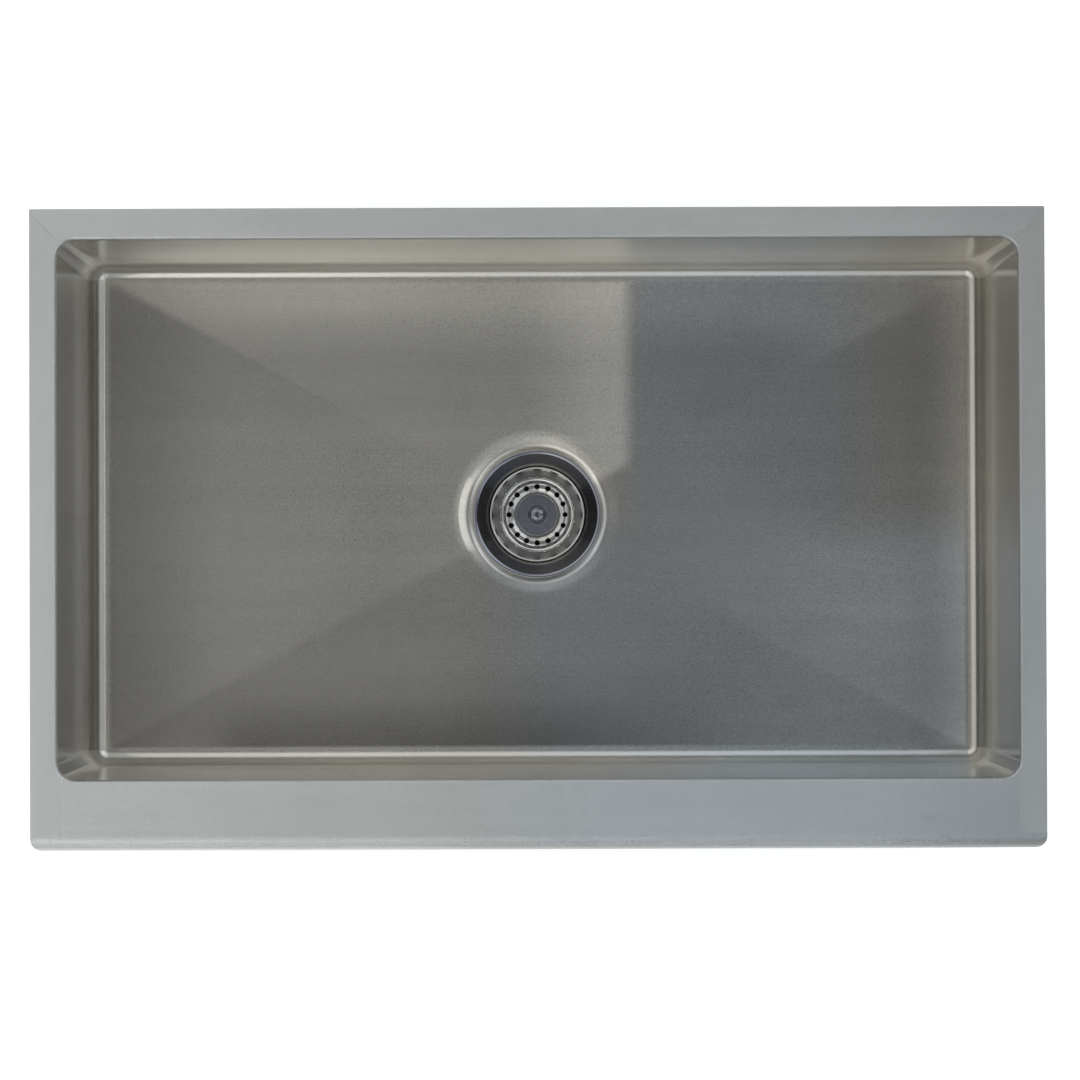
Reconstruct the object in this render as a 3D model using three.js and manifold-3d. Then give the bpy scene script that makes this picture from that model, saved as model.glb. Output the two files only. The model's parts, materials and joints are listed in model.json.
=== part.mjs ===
// A farmhouse apron front sink: a single welded sheet bowl with an apron, sound pads, and a basket
// strainer that lifts out and turns. Millimetres, +Z up, the apron faces -Y. The origin is the centre
// of the bowl's opening, on the deck's top face.

import * as THREE from 'three';
import { mergeVertices } from 'three/addons/utils/BufferGeometryUtils.js';
import Module from 'manifold-3d';

const wasm = await Module();
wasm.setup();

// ---------- Driving dimensions ----------

// Clearance between pieces that touch
const fit = 0.3;

// Deck
const sheet = 1.5;
const sinkWidth = 838;
const openingDepth = 445; // front to back
const backRim = 26;
const frontLedge = 59;
const sideRim = 22.5;
const deckCorner = 1;
const lipBend = 3; // outer radius of the bend from the deck down into the wall

// Bowl
const bowlDepth = 245; // deck to the floor's edge
const floorFall = 6; // from the floor's edge to where its four facets meet
const bowlCorner = 15;
const cove = 14; // radius from the wall to the floor
const easedCorner = 0.5; // the least corner radius left where the cove is larger than the corner

// Pressed drain seat in the floor
const swageWidth = 10; // the sloping edge of the drain hole
const swageDepth = 6.5;
const seatLand = 5.5; // flat ring round the swaged edge
const recessWidth = 13; // from the flat ring up to the floor
const recessDrop = 2; // the flat ring below the point where the facets meet

// Apron
const apronHeight = 254;
const apronCorner = 10; // upright corners
const apronBend = 12; // top front edge
const seamLand = 1; // flat from the bend to the weld seam
const returnLap = 11; // how far the side returns pass the bowl's round corner
const apronLip = 25;

// Sound pads
const padThickness = 3;
const padCorner = 12;
const padMargin = 18;
const wallPadTop = 45; // below the deck
const padDrainGap = 25; // from the recess to the floor pads

// Strainer body, heights below the drain seat
const lipLap = 1.65; // the lip's reach onto the flat ring
const bodySheet = 1.2;
const lipBevel = 0.7;
const sealThickness = 0.8;
const sealInset = 1.2; // the seal's edges, in from the lip's edge and the drain hole's
const barrelRadius = 43.2; // inside
const barrelWall = 1;
const holeClearance = 1.3; // from the barrel to the drain hole
const barrelRoom = 5.6; // from the basket's foot to the barrel's bottom
const barrelBlend = 4; // rounding from the barrel to the cone
const coneDrop = 9;
const neckWall = 2.5;
const neckLength = 21;

// Clamping under the drain seat
const gasketLip = 2.9; // thickness at the hole
const gasketWidth = 9.5;
const frictionThickness = 1;
const frictionLap = 1; // beyond the gasket
const nutWidth = 7.5;
const nutHeight = 13;
const nutBevel = 1.5;
const lugCount = 8;
const lugLength = 8;
const lugWidth = 9;
const lugHeight = 9;

// Outlet
const crossbarDrop = 5; // below the cone
const crossbarHeight = 5;
const crossbarWidth = 4;
const hubWall = 2.7;
const hubHeight = 6;
const tailpieceRadius = 19.05;
const neckStep = 2.25; // from the tailpiece to the neck's inside
const washerThickness = 3;
const couplingWall = 3.9; // least wall, at the flats
const couplingLap = 14; // up the neck
const couplingLip = 2.2;
const couplingBevel = 2;

// Basket
const basketClearance = 0.6; // to the barrel
const basketTop = 6;
const basketDepth = 30.4;
const basketSheet = 0.8;
const basketRoll = 1.1; // radius of the rolled rim
const basketTaper = 8; // from the rim to the foot
const basketFootBlend = 3;
const bossRadius = 18.8;
const bossRise = 2.2;
const holeCount = 16;
const holeRadius = 2.5;
const sideHoleRadius = 1.9;
const sideHoleRise = 5; // above the basket's underside

// Knob, stem and stopper
const stemRadius = 4;
const knobRadius = 9.2;
const knobHeight = 12;
const knobFootWall = 2;
const knobWasherLap = 1.5; // beyond the knob's foot
const knobWasherThickness = 0.6;
const stemInKnob = 8;
const collarStep = 2.5;
const stopperLap = 3.7; // beyond the neck's inside
const stopperThickness = 5;
const stopperWasherLap = 5.5; // beyond the collar
const stopperWasherThickness = 1;
const stemNutWall = 2.2; // least wall round its bore
const stemNutHeight = 3.2;
const stemTipBelowHub = 3;
const tipSlot = 1.2;

// Steps of the round shapes
const cornerSteps = 4; // even, so that a crease starts at a corner's middle
const shortSteps = 6;
const longSteps = 16;
const lipSteps = 3;
const coveSteps = 5;
const recessSteps = 3;
const bendSteps = 6;
const drainSteps = 40;
const smallSteps = 24;
const holeSteps = 8;

// ---------- Places that follow ----------

const halfWidth = sinkWidth / 2;
const openHalfWidth = halfWidth - sideRim;
const openHalfDepth = openingDepth / 2;
const backEdge = openHalfDepth + backRim;
const apronFace = -openHalfDepth - frontLedge;
const apronSeam = apronFace + apronBend + seamLand;
const apronBack = -openHalfDepth + bowlCorner + returnLap;
const floorHalfWidth = openHalfWidth - cove;
const floorHalfDepth = openHalfDepth - cove;
const seatHeight = -bowlDepth - floorFall - recessDrop;
const creaseAngle = Math.atan2(floorHalfDepth, floorHalfWidth);

// Radii outwards from the barrel
const barrelOuter = barrelRadius + barrelWall;
const drainHole = barrelOuter + holeClearance;
const seatInner = drainHole + swageWidth;
const seatOuter = seatInner + seatLand;
const recessRadius = seatOuter + recessWidth;
const lipRadius = seatInner + lipLap;
const boreRadius = barrelOuter + fit;
const gasketRadius = boreRadius + gasketWidth;
const frictionRadius = gasketRadius + frictionLap;
const nutRadius = boreRadius + nutWidth;
const swageAngle = Math.atan2(swageDepth, swageWidth);

// Depths of the strainer below the seat
const bodyLift = fit + sealThickness + fit; // the body's underside above the seat
const barrelBottom = basketDepth + barrelRoom;
const coneBottom = barrelBottom + coneDrop;
const neckBottom = coneBottom + neckLength;
const crossbarDepth = coneBottom + crossbarDrop;
const couplingTop = neckBottom - couplingLap;

// Radii inwards from the barrel and outwards from the stem
const neckRadius = tailpieceRadius + neckStep;
const neckOuter = neckRadius + neckWall;
const couplingBore = neckOuter + fit;
const couplingFlats = 2 * (couplingBore + couplingWall);
const coneSlope = coneDrop / (barrelRadius - neckRadius);
const basketRadius = barrelRadius - basketClearance;
const basketFootRadius = basketRadius - basketTaper;
const holeCircle = (bossRadius + basketFootRadius - basketFootBlend) / 2;
const stemBore = stemRadius + fit;
const hubRadius = stemBore + hubWall;
const knobFoot = stemRadius + knobFootWall;
const knobWasherRadius = knobFoot + knobWasherLap;
const collarRadius = stemRadius + collarStep;
const stopperRadius = neckRadius + stopperLap;
const stopperWasherRadius = collarRadius + stopperWasherLap;

// ---------- Finishes ----------

const brushedSteel = { color: 0x9c9c98, roughness: 0.3, metalness: 1 };
const polishedSteel = { color: 0xb4b2ae, roughness: 0.12, metalness: 1 };
const plainSteel = { color: 0x8d8e8e, roughness: 0.4, metalness: 1 };
const brass = { color: 0xa78a4e, roughness: 0.35, metalness: 1 };
const blackRubber = { color: 0x1d1d1e, roughness: 0.8, metalness: 0 };
const greyRubber = { color: 0x3c3d3f, roughness: 0.85, metalness: 0 };
const fibre = { color: 0x8a6f4d, roughness: 0.9, metalness: 0 };

// ---------- Geometry helpers ----------

// One closed mesh with shared vertices and no collapsed triangles
function weld(geometry) {
  geometry.deleteAttribute('normal');
  geometry.deleteAttribute('uv');
  const merged = mergeVertices(geometry, 1e-4);
  const index = merged.index.array;
  const kept = [];
  for (let i = 0; i < index.length; i += 3) {
    const [a, b, c] = index.slice(i, i + 3);
    if (a !== b && b !== c && c !== a) kept.push(a, b, c);
  }
  merged.setIndex(kept);
  return merged;
}

function toSolid(geometry) {
  const merged = weld(geometry);
  const vertProperties = merged.attributes.position.array;
  const triVerts = new Uint32Array(merged.index.array);
  return new wasm.Manifold(new wasm.Mesh({ numProp: 3, vertProperties, triVerts }));
}

function toGeometry(solid) {
  const mesh = solid.getMesh();
  const geometry = new THREE.BufferGeometry();
  geometry.setAttribute('position', new THREE.BufferAttribute(mesh.vertProperties, 3));
  geometry.setIndex(new THREE.BufferAttribute(mesh.triVerts, 1));
  return geometry;
}

// A solid of revolution about Z from [radius, height] points, counter-clockwise round the section
function revolve(points, steps) {
  const profile = points.map(([radius, height]) => new THREE.Vector2(radius, height));
  const touchesAxis = points[0][0] === 0;
  if (!touchesAxis) profile.push(profile[0].clone());
  return weld(new THREE.LatheGeometry(profile, steps).rotateX(Math.PI / 2));
}

function box(left, right, front, back, bottom, top) {
  const geometry = new THREE.BoxGeometry(right - left, back - front, top - bottom);
  return geometry.translate((left + right) / 2, (front + back) / 2, (bottom + top) / 2);
}

function roundedRectangle(left, right, bottom, top, radius) {
  const shape = new THREE.Shape();
  shape.absarc(right - radius, bottom + radius, radius, -Math.PI / 2, 0);
  shape.absarc(right - radius, top - radius, radius, 0, Math.PI / 2);
  shape.absarc(left + radius, top - radius, radius, Math.PI / 2, Math.PI);
  shape.absarc(left + radius, bottom + radius, radius, Math.PI, 1.5 * Math.PI);
  return shape;
}

function extrude(shape, depth) {
  return new THREE.ExtrudeGeometry(shape, { depth, bevelEnabled: false, curveSegments: bendSteps });
}

// Shape x and y become Y and Z, and the extrusion runs along X
function standOnSide(geometry) {
  const turn = new THREE.Matrix4().makeBasis(
    new THREE.Vector3(0, 1, 0),
    new THREE.Vector3(0, 0, 1),
    new THREE.Vector3(1, 0, 0),
  );
  return geometry.applyMatrix4(turn);
}

// Shape x and y become X and Z, and the extrusion runs along -Y
function standOnBack(geometry) {
  return geometry.rotateX(Math.PI / 2);
}

function hexagon(flats) {
  const shape = new THREE.Shape();
  const corner = flats / 2 / Math.cos(Math.PI / 6);
  for (let side = 0; side < 6; side++) {
    const angle = side * Math.PI / 3;
    shape[side ? 'lineTo' : 'moveTo'](corner * Math.cos(angle), corner * Math.sin(angle));
  }
  return shape;
}

// ---------- Bowl ----------

// Points round a rectangle with round corners, from the middle of the front right corner
function roundedLoop(left, right, front, back, radius) {
  const corners = [
    [right - radius, front + radius],
    [right - radius, back - radius],
    [left + radius, back - radius],
    [left + radius, front + radius],
  ];
  const onArc = (corner, step) => {
    const [x, y] = corners[corner % 4];
    const angle = (corner - 1 + step / cornerSteps) * Math.PI / 2;
    return new THREE.Vector2(x + radius * Math.cos(angle), y + radius * Math.sin(angle));
  };
  const points = [];
  for (let corner = 0; corner < 4; corner++) {
    for (let step = 0; step <= cornerSteps; step++) points.push(onArc(corner, step));
    const sideSteps = corner % 2 === 0 ? shortSteps : longSteps;
    const [from, to] = [onArc(corner, cornerSteps), onArc(corner + 1, 0)];
    for (let step = 1; step < sideSteps; step++) points.push(from.clone().lerp(to, step / sideSteps));
  }
  const half = cornerSteps / 2;
  return [...points.slice(half), ...points.slice(0, half)];
}

// The same points on a circle, with its creases where the floor's corners are
function creaseAngles() {
  const spans = [
    [-creaseAngle, creaseAngle, shortSteps],
    [creaseAngle, Math.PI - creaseAngle, longSteps],
    [Math.PI - creaseAngle, Math.PI + creaseAngle, shortSteps],
    [Math.PI + creaseAngle, 2 * Math.PI - creaseAngle, longSteps],
  ];
  return spans.flatMap(([from, to, sideSteps]) => {
    const steps = sideSteps + cornerSteps;
    return Array.from({ length: steps }, (_, step) => from + (to - from) * step / steps);
  });
}

// Four flat facets that fall to the middle
function floorHeight(x, y) {
  const share = Math.max(Math.abs(x) / floorHalfWidth, Math.abs(y) / floorHalfDepth);
  return -bowlDepth - floorFall * (1 - share);
}

// A line parallel to the drain seat and its swaged edge, at a distance above the sheet's top face
function seatLine(distance) {
  return {
    bend: seatInner - distance * Math.tan(swageAngle / 2),
    height: radius => distance / Math.cos(swageAngle) - (seatInner - radius) * Math.tan(swageAngle),
  };
}

// One face of the bowl's sheet from the deck's edge to the drain hole: offset 0 is the top face
function bowlFace(offset) {
  const level = (loop, height) => loop.map(({ x, y }) => new THREE.Vector3(x, y, height));
  const aroundOpening = (inset, height) => {
    const [x, y] = [openHalfWidth - inset, openHalfDepth - inset];
    return level(roundedLoop(-x, x, -y, y, Math.max(bowlCorner - inset, easedCorner)), height);
  };
  const aroundDrain = (radius, height) => creaseAngles().map(angle => {
    const [x, y] = [radius * Math.cos(angle), radius * Math.sin(angle)];
    return new THREE.Vector3(x, y, height(x, y));
  });
  const deck = roundedLoop(-halfWidth, halfWidth, apronSeam + fit, backEdge, deckCorner);
  const loops = [level(deck, -offset)];
  const lip = Math.max(lipBend - offset, easedCorner);
  for (let step = 0; step <= lipSteps; step++) {
    const angle = step / lipSteps * Math.PI / 2;
    loops.push(aroundOpening(lip * Math.sin(angle) - offset - lip, lip * Math.cos(angle) - offset - lip));
  }
  const bend = cove + offset;
  for (let step = 0; step <= coveSteps; step++) {
    const angle = step / coveSteps * Math.PI / 2;
    loops.push(aroundOpening(cove - bend * Math.cos(angle), cove - bowlDepth - bend * Math.sin(angle)));
  }
  for (let step = 0; step <= recessSteps; step++) {
    const share = step / recessSteps;
    const drop = THREE.MathUtils.smoothstep(share, 0, 1);
    const radius = THREE.MathUtils.lerp(recessRadius, seatOuter, share);
    const height = (x, y) => {
      const reach = recessRadius / radius;
      return THREE.MathUtils.lerp(floorHeight(x * reach, y * reach), seatHeight, drop) - offset;
    };
    loops.push(aroundDrain(radius, height));
  }
  loops.push(aroundDrain(seatLine(-offset).bend, () => seatHeight - offset));
  const edge = drainHole + offset * Math.sin(swageAngle);
  loops.push(aroundDrain(edge, () => seatHeight - swageDepth - offset * Math.cos(swageAngle)));
  return loops;
}

// Joins loops of equal length into a closed skin, the last loop back to the first
function skinLoops(loops) {
  const count = loops[0].length;
  const positions = loops.flat().flatMap(point => point.toArray());
  const index = [];
  for (let loop = 0; loop < loops.length; loop++) {
    const [here, next] = [loop * count, (loop + 1) % loops.length * count];
    for (let i = 0; i < count; i++) {
      const j = (i + 1) % count;
      index.push(here + i, here + j, next + j, here + i, next + j, next + i);
    }
  }
  const geometry = new THREE.BufferGeometry();
  geometry.setAttribute('position', new THREE.Float32BufferAttribute(positions, 3));
  geometry.setIndex(index);
  return weld(geometry);
}

function bowlGeometry() {
  return skinLoops([...bowlFace(0), ...bowlFace(sheet).reverse()]);
}

// ---------- Apron ----------

// The block that the apron wraps, shrunk on every side by the inset
function apronBlock(inset) {
  const [side, face, back] = [halfWidth - inset, apronFace + inset, apronBack - inset];
  const [top, bottom] = [-inset, inset - apronHeight];
  const corner = apronCorner - inset;
  const bend = apronBend - inset;
  const plan = new THREE.Shape();
  plan.moveTo(side, back);
  plan.lineTo(-side, back);
  plan.absarc(corner - side, face + corner, corner, Math.PI, 1.5 * Math.PI);
  plan.absarc(side - corner, face + corner, corner, -Math.PI / 2, 0);
  const profile = new THREE.Shape();
  profile.moveTo(face, bottom);
  profile.lineTo(back, bottom);
  profile.lineTo(back, top);
  profile.absarc(face + bend, top - bend, bend, Math.PI / 2, Math.PI);
  const upright = toSolid(extrude(plan, top - bottom).translate(0, 0, bottom));
  const across = toSolid(standOnSide(extrude(profile, 2 * side)).translate(-side, 0, 0));
  return upright.intersect(across);
}

function apronGeometry() {
  const wallFace = openHalfWidth + sheet + fit;
  const past = 1;
  const [left, right] = [-halfWidth - past, halfWidth + past];
  const underDeck = box(left, right, apronSeam, apronBack + past, -sheet - fit, past);
  const [flangeFront, flangeBack] = [apronBack - sheet - past, apronBack + past];
  const bowlSpace = box(-wallFace, wallFace, flangeFront, flangeBack, -apronHeight - past, past);
  const bendFace = wallFace + lipBend;
  const bendSpace = box(-bendFace, bendFace, flangeFront, flangeBack, -lipBend - fit, past);
  const inner = halfWidth - sheet;
  const lipBack = apronFace + apronLip;
  const openFoot = box(-inner, inner, lipBack, apronBack - sheet, -apronHeight - past, past - apronHeight + sheet);
  return toGeometry(
    apronBlock(0)
      .subtract(apronBlock(sheet))
      .subtract(toSolid(underDeck))
      .subtract(toSolid(bowlSpace))
      .subtract(toSolid(bendSpace))
      .subtract(toSolid(openFoot)),
  );
}

// ---------- Sound pads ----------

// A slab under the floor's facets, cut to a rounded outline on the right of the drain
function floorPadGeometry() {
  const [x, y] = [floorHalfWidth, floorHalfDepth];
  const under = -sheet - fit;
  const corners = [[x, -y], [x, y], [-x, y], [-x, -y]];
  const sheetAt = drop => [...corners, [0, 0]].map(([u, v]) => [u, v, floorHeight(u, v) + under - drop]);
  const index = [];
  for (let i = 0; i < 4; i++) {
    const j = (i + 1) % 4;
    index.push(i, j, 4, 5 + j, 5 + i, 9, i, 5 + i, 5 + j, i, 5 + j, j);
  }
  const slab = new THREE.BufferGeometry();
  const positions = [...sheetAt(0), ...sheetAt(padThickness)].flat();
  slab.setAttribute('position', new THREE.Float32BufferAttribute(positions, 3));
  slab.setIndex(index);
  const inner = recessRadius + padDrainGap;
  const outline = roundedRectangle(inner, x - padMargin, padMargin - y, y - padMargin, padCorner);
  const reach = 2 * (floorFall + padThickness + sheet);
  const prism = extrude(outline, 2 * reach).translate(0, 0, -bowlDepth - reach);
  return toGeometry(toSolid(slab).intersect(toSolid(prism)));
}

function mirrored(geometry) {
  return toGeometry(toSolid(geometry).mirror([1, 0, 0]));
}

const wallPadBottom = bowlDepth - cove - padMargin / 2;

function sidePadGeometry() {
  const outline = roundedRectangle(
    apronBack + padMargin, openHalfDepth - bowlCorner - padMargin, -wallPadBottom, -wallPadTop, padCorner,
  );
  return weld(standOnSide(extrude(outline, padThickness)));
}

function longPadGeometry() {
  const reach = openHalfWidth - bowlCorner - padMargin;
  const outline = roundedRectangle(-reach, reach, -wallPadBottom, -wallPadTop, padCorner);
  return weld(standOnBack(extrude(outline, padThickness)));
}

// ---------- Strainer body and its clamping, heights from the drain seat ----------

function strainerBodyGeometry() {
  const under = seatLine(bodyLift);
  const over = seatLine(bodyLift + bodySheet);
  const top = bodyLift + bodySheet;
  const blendEnd = barrelRadius - barrelBlend;
  return revolve([
    [lipRadius, bodyLift],
    [lipRadius, top - lipBevel],
    [lipRadius - lipBevel, top],
    [over.bend, top],
    [barrelRadius, over.height(barrelRadius)],
    [barrelRadius, barrelBlend / 2 - barrelBottom],
    [blendEnd, -barrelBottom - barrelBlend * coneSlope],
    [neckRadius, -coneBottom],
    [neckRadius, -neckBottom],
    [neckOuter, -neckBottom],
    [neckOuter, -coneBottom - barrelWall + neckWall * coneSlope],
    [blendEnd + barrelWall / 2, -barrelBottom - barrelBlend * coneSlope - barrelWall],
    [barrelOuter, barrelBlend / 2 - barrelBottom - barrelWall],
    [barrelOuter, under.height(barrelOuter)],
    [under.bend, bodyLift],
  ], drainSteps);
}

function flangeSealGeometry() {
  const low = seatLine(fit);
  const high = seatLine(fit + sealThickness);
  const [outer, inner] = [lipRadius - sealInset, drainHole + sealInset];
  return revolve([
    [outer, fit],
    [outer, fit + sealThickness],
    [high.bend, fit + sealThickness],
    [inner, high.height(inner)],
    [inner, low.height(inner)],
    [low.bend, fit],
  ], drainSteps);
}

const gasketTop = seatLine(-sheet - fit);
const holeEdge = drainHole + sheet * Math.sin(swageAngle);
const gasketBottom = gasketTop.height(holeEdge) - fit - gasketLip;
const frictionBottom = gasketBottom - fit - frictionThickness;
const nutTop = frictionBottom - fit;

function gasketGeometry() {
  return revolve([
    [gasketRadius, gasketBottom],
    [gasketRadius, gasketTop.height(gasketRadius)],
    [holeEdge, gasketTop.height(holeEdge)],
    [boreRadius, gasketTop.height(holeEdge)],
    [boreRadius, gasketBottom],
  ], drainSteps);
}

function frictionRingGeometry() {
  return revolve([
    [frictionRadius, frictionBottom],
    [frictionRadius, frictionBottom + frictionThickness],
    [boreRadius, frictionBottom + frictionThickness],
    [boreRadius, frictionBottom],
  ], drainSteps);
}

function lockNutGeometry() {
  const bottom = nutTop - nutHeight;
  let nut = toSolid(revolve([
    [nutRadius - nutBevel, bottom],
    [nutRadius, bottom + nutBevel],
    [nutRadius, nutTop],
    [boreRadius, nutTop],
    [boreRadius, bottom],
  ], drainSteps));
  const rootRadius = (boreRadius + nutRadius) / 2;
  for (let lug = 0; lug < lugCount; lug++) {
    const ear = box(rootRadius, nutRadius + lugLength, -lugWidth / 2, lugWidth / 2, nutTop - lugHeight, nutTop);
    nut = nut.add(toSolid(ear.rotateZ(lug * 2 * Math.PI / lugCount)));
  }
  return toGeometry(nut);
}

// ---------- Outlet ----------

function crossbarGeometry() {
  const [top, bottom] = [-crossbarDepth, -crossbarDepth - crossbarHeight];
  const hub = new THREE.CylinderGeometry(hubRadius, hubRadius, hubHeight, smallSteps);
  const bore = new THREE.CylinderGeometry(stemBore, stemBore, 2 * hubHeight, smallSteps);
  const reach = neckRadius - fit;
  const bounds = new THREE.CylinderGeometry(reach, reach, 2 * hubHeight, drainSteps);
  const middle = (top + bottom) / 2;
  const [hubSolid, boreSolid, boundsSolid] = [hub, bore, bounds].map(round =>
    toSolid(round.rotateX(Math.PI / 2).translate(0, 0, middle)));
  const half = crossbarWidth / 2;
  const along = toSolid(box(-neckRadius, neckRadius, -half, half, bottom, top));
  const across = toSolid(box(-half, half, -neckRadius, neckRadius, bottom, top));
  return toGeometry(along.add(across).intersect(boundsSolid).add(hubSolid).subtract(boreSolid));
}

const washerTop = -neckBottom - fit;
const couplingBottom = washerTop - washerThickness - fit - couplingLip;

function tailpieceWasherGeometry() {
  return revolve([
    [neckOuter, washerTop - washerThickness],
    [neckOuter, washerTop],
    [tailpieceRadius + fit, washerTop],
    [tailpieceRadius + fit, washerTop - washerThickness],
  ], drainSteps);
}

function couplingNutGeometry() {
  const corner = couplingFlats / 2 / Math.cos(Math.PI / 6);
  const lipTop = couplingBottom + couplingLip;
  const ring = toSolid(revolve([
    [corner - couplingBevel, couplingBottom],
    [corner, couplingBottom + couplingBevel],
    [corner, -couplingTop - couplingBevel],
    [corner - couplingBevel, -couplingTop],
    [couplingBore, -couplingTop],
    [couplingBore, lipTop],
    [tailpieceRadius + fit, lipTop],
    [tailpieceRadius + fit, couplingBottom],
  ], drainSteps));
  const height = -couplingTop - couplingBottom;
  const flats = toSolid(extrude(hexagon(couplingFlats), height).translate(0, 0, couplingBottom));
  return toGeometry(ring.intersect(flats));
}

// ---------- Basket, knob, stem and stopper ----------

const bossTop = bossRise + basketSheet - basketDepth;

function basketGeometry() {
  const rollCentre = [basketRadius - basketRoll, -basketTop - basketRoll];
  const roll = [-30, 30, 90, 150, 210].map(degrees => {
    const angle = THREE.MathUtils.degToRad(degrees);
    return [rollCentre[0] + basketRoll * Math.cos(angle), rollCentre[1] + basketRoll * Math.sin(angle)];
  });
  const wallTop = basketRadius - basketRoll;
  const floor = -basketDepth;
  const footHeight = floor + basketFootBlend;
  const blend = basketFootBlend * 0.7;
  const cup = revolve([
    ...roll,
    [wallTop - basketSheet, -basketTop - 2.4 * basketRoll],
    [basketFootRadius - basketSheet, footHeight],
    [basketFootRadius - basketSheet - blend, floor + basketSheet],
    [bossRadius + basketSheet, floor + basketSheet],
    [bossRadius, bossTop],
    [stemBore, bossTop],
    [stemBore, bossTop - basketSheet],
    [bossRadius - basketSheet / 2, bossTop - basketSheet],
    [bossRadius + basketSheet / 2, floor],
    [basketFootRadius - blend, floor],
    [basketFootRadius, footHeight],
    [wallTop, -basketTop - 2.4 * basketRoll],
  ], drainSteps);
  const drill = new THREE.CylinderGeometry(holeRadius, holeRadius, 4 * bossRise, holeSteps);
  drill.rotateX(Math.PI / 2).translate(holeCircle, 0, floor);
  const sideDrill = new THREE.CylinderGeometry(sideHoleRadius, sideHoleRadius, barrelRadius - holeCircle, holeSteps);
  sideDrill.rotateZ(Math.PI / 2).translate((barrelRadius + holeCircle) / 2, 0, floor + sideHoleRise);
  let basket = toSolid(cup);
  for (let hole = 0; hole < holeCount; hole++) {
    const angle = 2 * Math.PI * hole / holeCount;
    basket = basket.subtract(toSolid(drill.clone().rotateZ(angle)));
    basket = basket.subtract(toSolid(sideDrill.clone().rotateZ(angle + Math.PI / holeCount)));
  }
  return toGeometry(basket);
}

const knobWasherBottom = bossTop + fit;
const knobBottom = knobWasherBottom + knobWasherThickness + fit;
const knobTop = knobBottom + knobHeight;
const stemTop = knobBottom + stemInKnob;
const collarTop = bossTop - basketSheet - fit;
const stopperBottom = fit / Math.cos(Math.atan(coneSlope)) + fit - coneBottom
  + (stopperRadius - neckRadius - stopperThickness / 2) * coneSlope;
const stopperTop = stopperBottom + stopperThickness;
const stopperWasherBottom = stopperTop + fit;
const collarBottom = stopperWasherBottom + stopperWasherThickness + fit;
const stemTip = -crossbarDepth - hubHeight - stemTipBelowHub;

function knobGeometry() {
  const dome = [90, 70, 50, 30, 10, -10].map(degrees => {
    const angle = THREE.MathUtils.degToRad(degrees);
    const rise = knobHeight / 2;
    return [degrees === 90 ? 0 : knobRadius * Math.cos(angle), knobTop - rise + rise * Math.sin(angle)];
  });
  return revolve([
    [0, stemTop + fit],
    [stemBore, stemTop + fit],
    [stemBore, knobBottom],
    [knobFoot, knobBottom],
    [knobFoot, knobBottom + knobHeight / 4],
    ...dome.reverse(),
  ], smallSteps);
}

function ringGeometry(outer, inner, bottom, thickness) {
  return revolve([
    [outer, bottom],
    [outer, bottom + thickness],
    [inner, bottom + thickness],
    [inner, bottom],
  ], smallSteps);
}

function stemGeometry() {
  const rod = toSolid(revolve([
    [0, stemTip],
    [stemRadius - tipSlot, stemTip],
    [stemRadius, stemTip + tipSlot],
    [stemRadius, collarBottom],
    [collarRadius, collarBottom],
    [collarRadius, collarTop],
    [stemRadius, collarTop],
    [stemRadius, stemTop],
    [0, stemTop],
  ], smallSteps));
  const slotTop = -crossbarDepth - hubHeight / 2;
  const slot = box(-tipSlot / 2, tipSlot / 2, -stemRadius - 1, stemRadius + 1, stemTip - 1, slotTop);
  return toGeometry(rod.subtract(toSolid(slot)));
}

function stopperGeometry() {
  const shoulder = stopperThickness / 2;
  return revolve([
    [stopperRadius - shoulder, stopperBottom],
    [stopperRadius, stopperBottom + shoulder * coneSlope],
    [stopperRadius, stopperBottom + shoulder],
    [stopperWasherRadius, stopperTop],
    [stemBore, stopperTop],
    [stemBore, stopperBottom],
  ], drainSteps);
}

function stemNutGeometry() {
  const nut = toSolid(extrude(hexagon(2 * (stemBore + stemNutWall)), stemNutHeight));
  const bore = new THREE.CylinderGeometry(stemBore, stemBore, 4 * stemNutHeight, smallSteps);
  const top = stopperBottom - fit;
  return toGeometry(nut.subtract(toSolid(bore.rotateX(Math.PI / 2)))).translate(0, 0, top - stemNutHeight);
}

// ---------- Assembly ----------

function piece(name, geometry, finish, x = 0, y = 0, z = 0) {
  const mesh = new THREE.Mesh(geometry, new THREE.MeshStandardMaterial({ ...finish, flatShading: true }));
  mesh.name = name;
  mesh.position.set(x, y, z);
  return mesh;
}

const shell = new THREE.Group();
const floorPad = floorPadGeometry();
const wallPadX = openHalfWidth + sheet + fit;
const wallPadY = openHalfDepth + sheet + fit;
shell.add(
  piece('bowl', bowlGeometry(), brushedSteel),
  piece('apron_front', apronGeometry(), brushedSteel),
  piece('pad_floor_right', floorPad, greyRubber),
  piece('pad_floor_left', mirrored(floorPad.clone()), greyRubber),
  piece('pad_wall_right', sidePadGeometry(), greyRubber, wallPadX),
  piece('pad_wall_left', sidePadGeometry(), greyRubber, -wallPadX - padThickness),
  piece('pad_wall_back', longPadGeometry(), greyRubber, 0, wallPadY + padThickness),
  piece('pad_wall_front', longPadGeometry(), greyRubber, 0, -wallPadY),
);

const strainer = new THREE.Group();
strainer.add(
  piece('strainer_body', strainerBodyGeometry(), polishedSteel),
  piece('flange_seal', flangeSealGeometry(), blackRubber),
  piece('rubber_gasket', gasketGeometry(), blackRubber),
  piece('friction_ring', frictionRingGeometry(), fibre),
  piece('lock_nut', lockNutGeometry(), brass),
  piece('outlet_crossbar', crossbarGeometry(), plainSteel),
  piece('tailpiece_washer', tailpieceWasherGeometry(), blackRubber),
  piece('coupling_nut', couplingNutGeometry(), brass),
);

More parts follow.
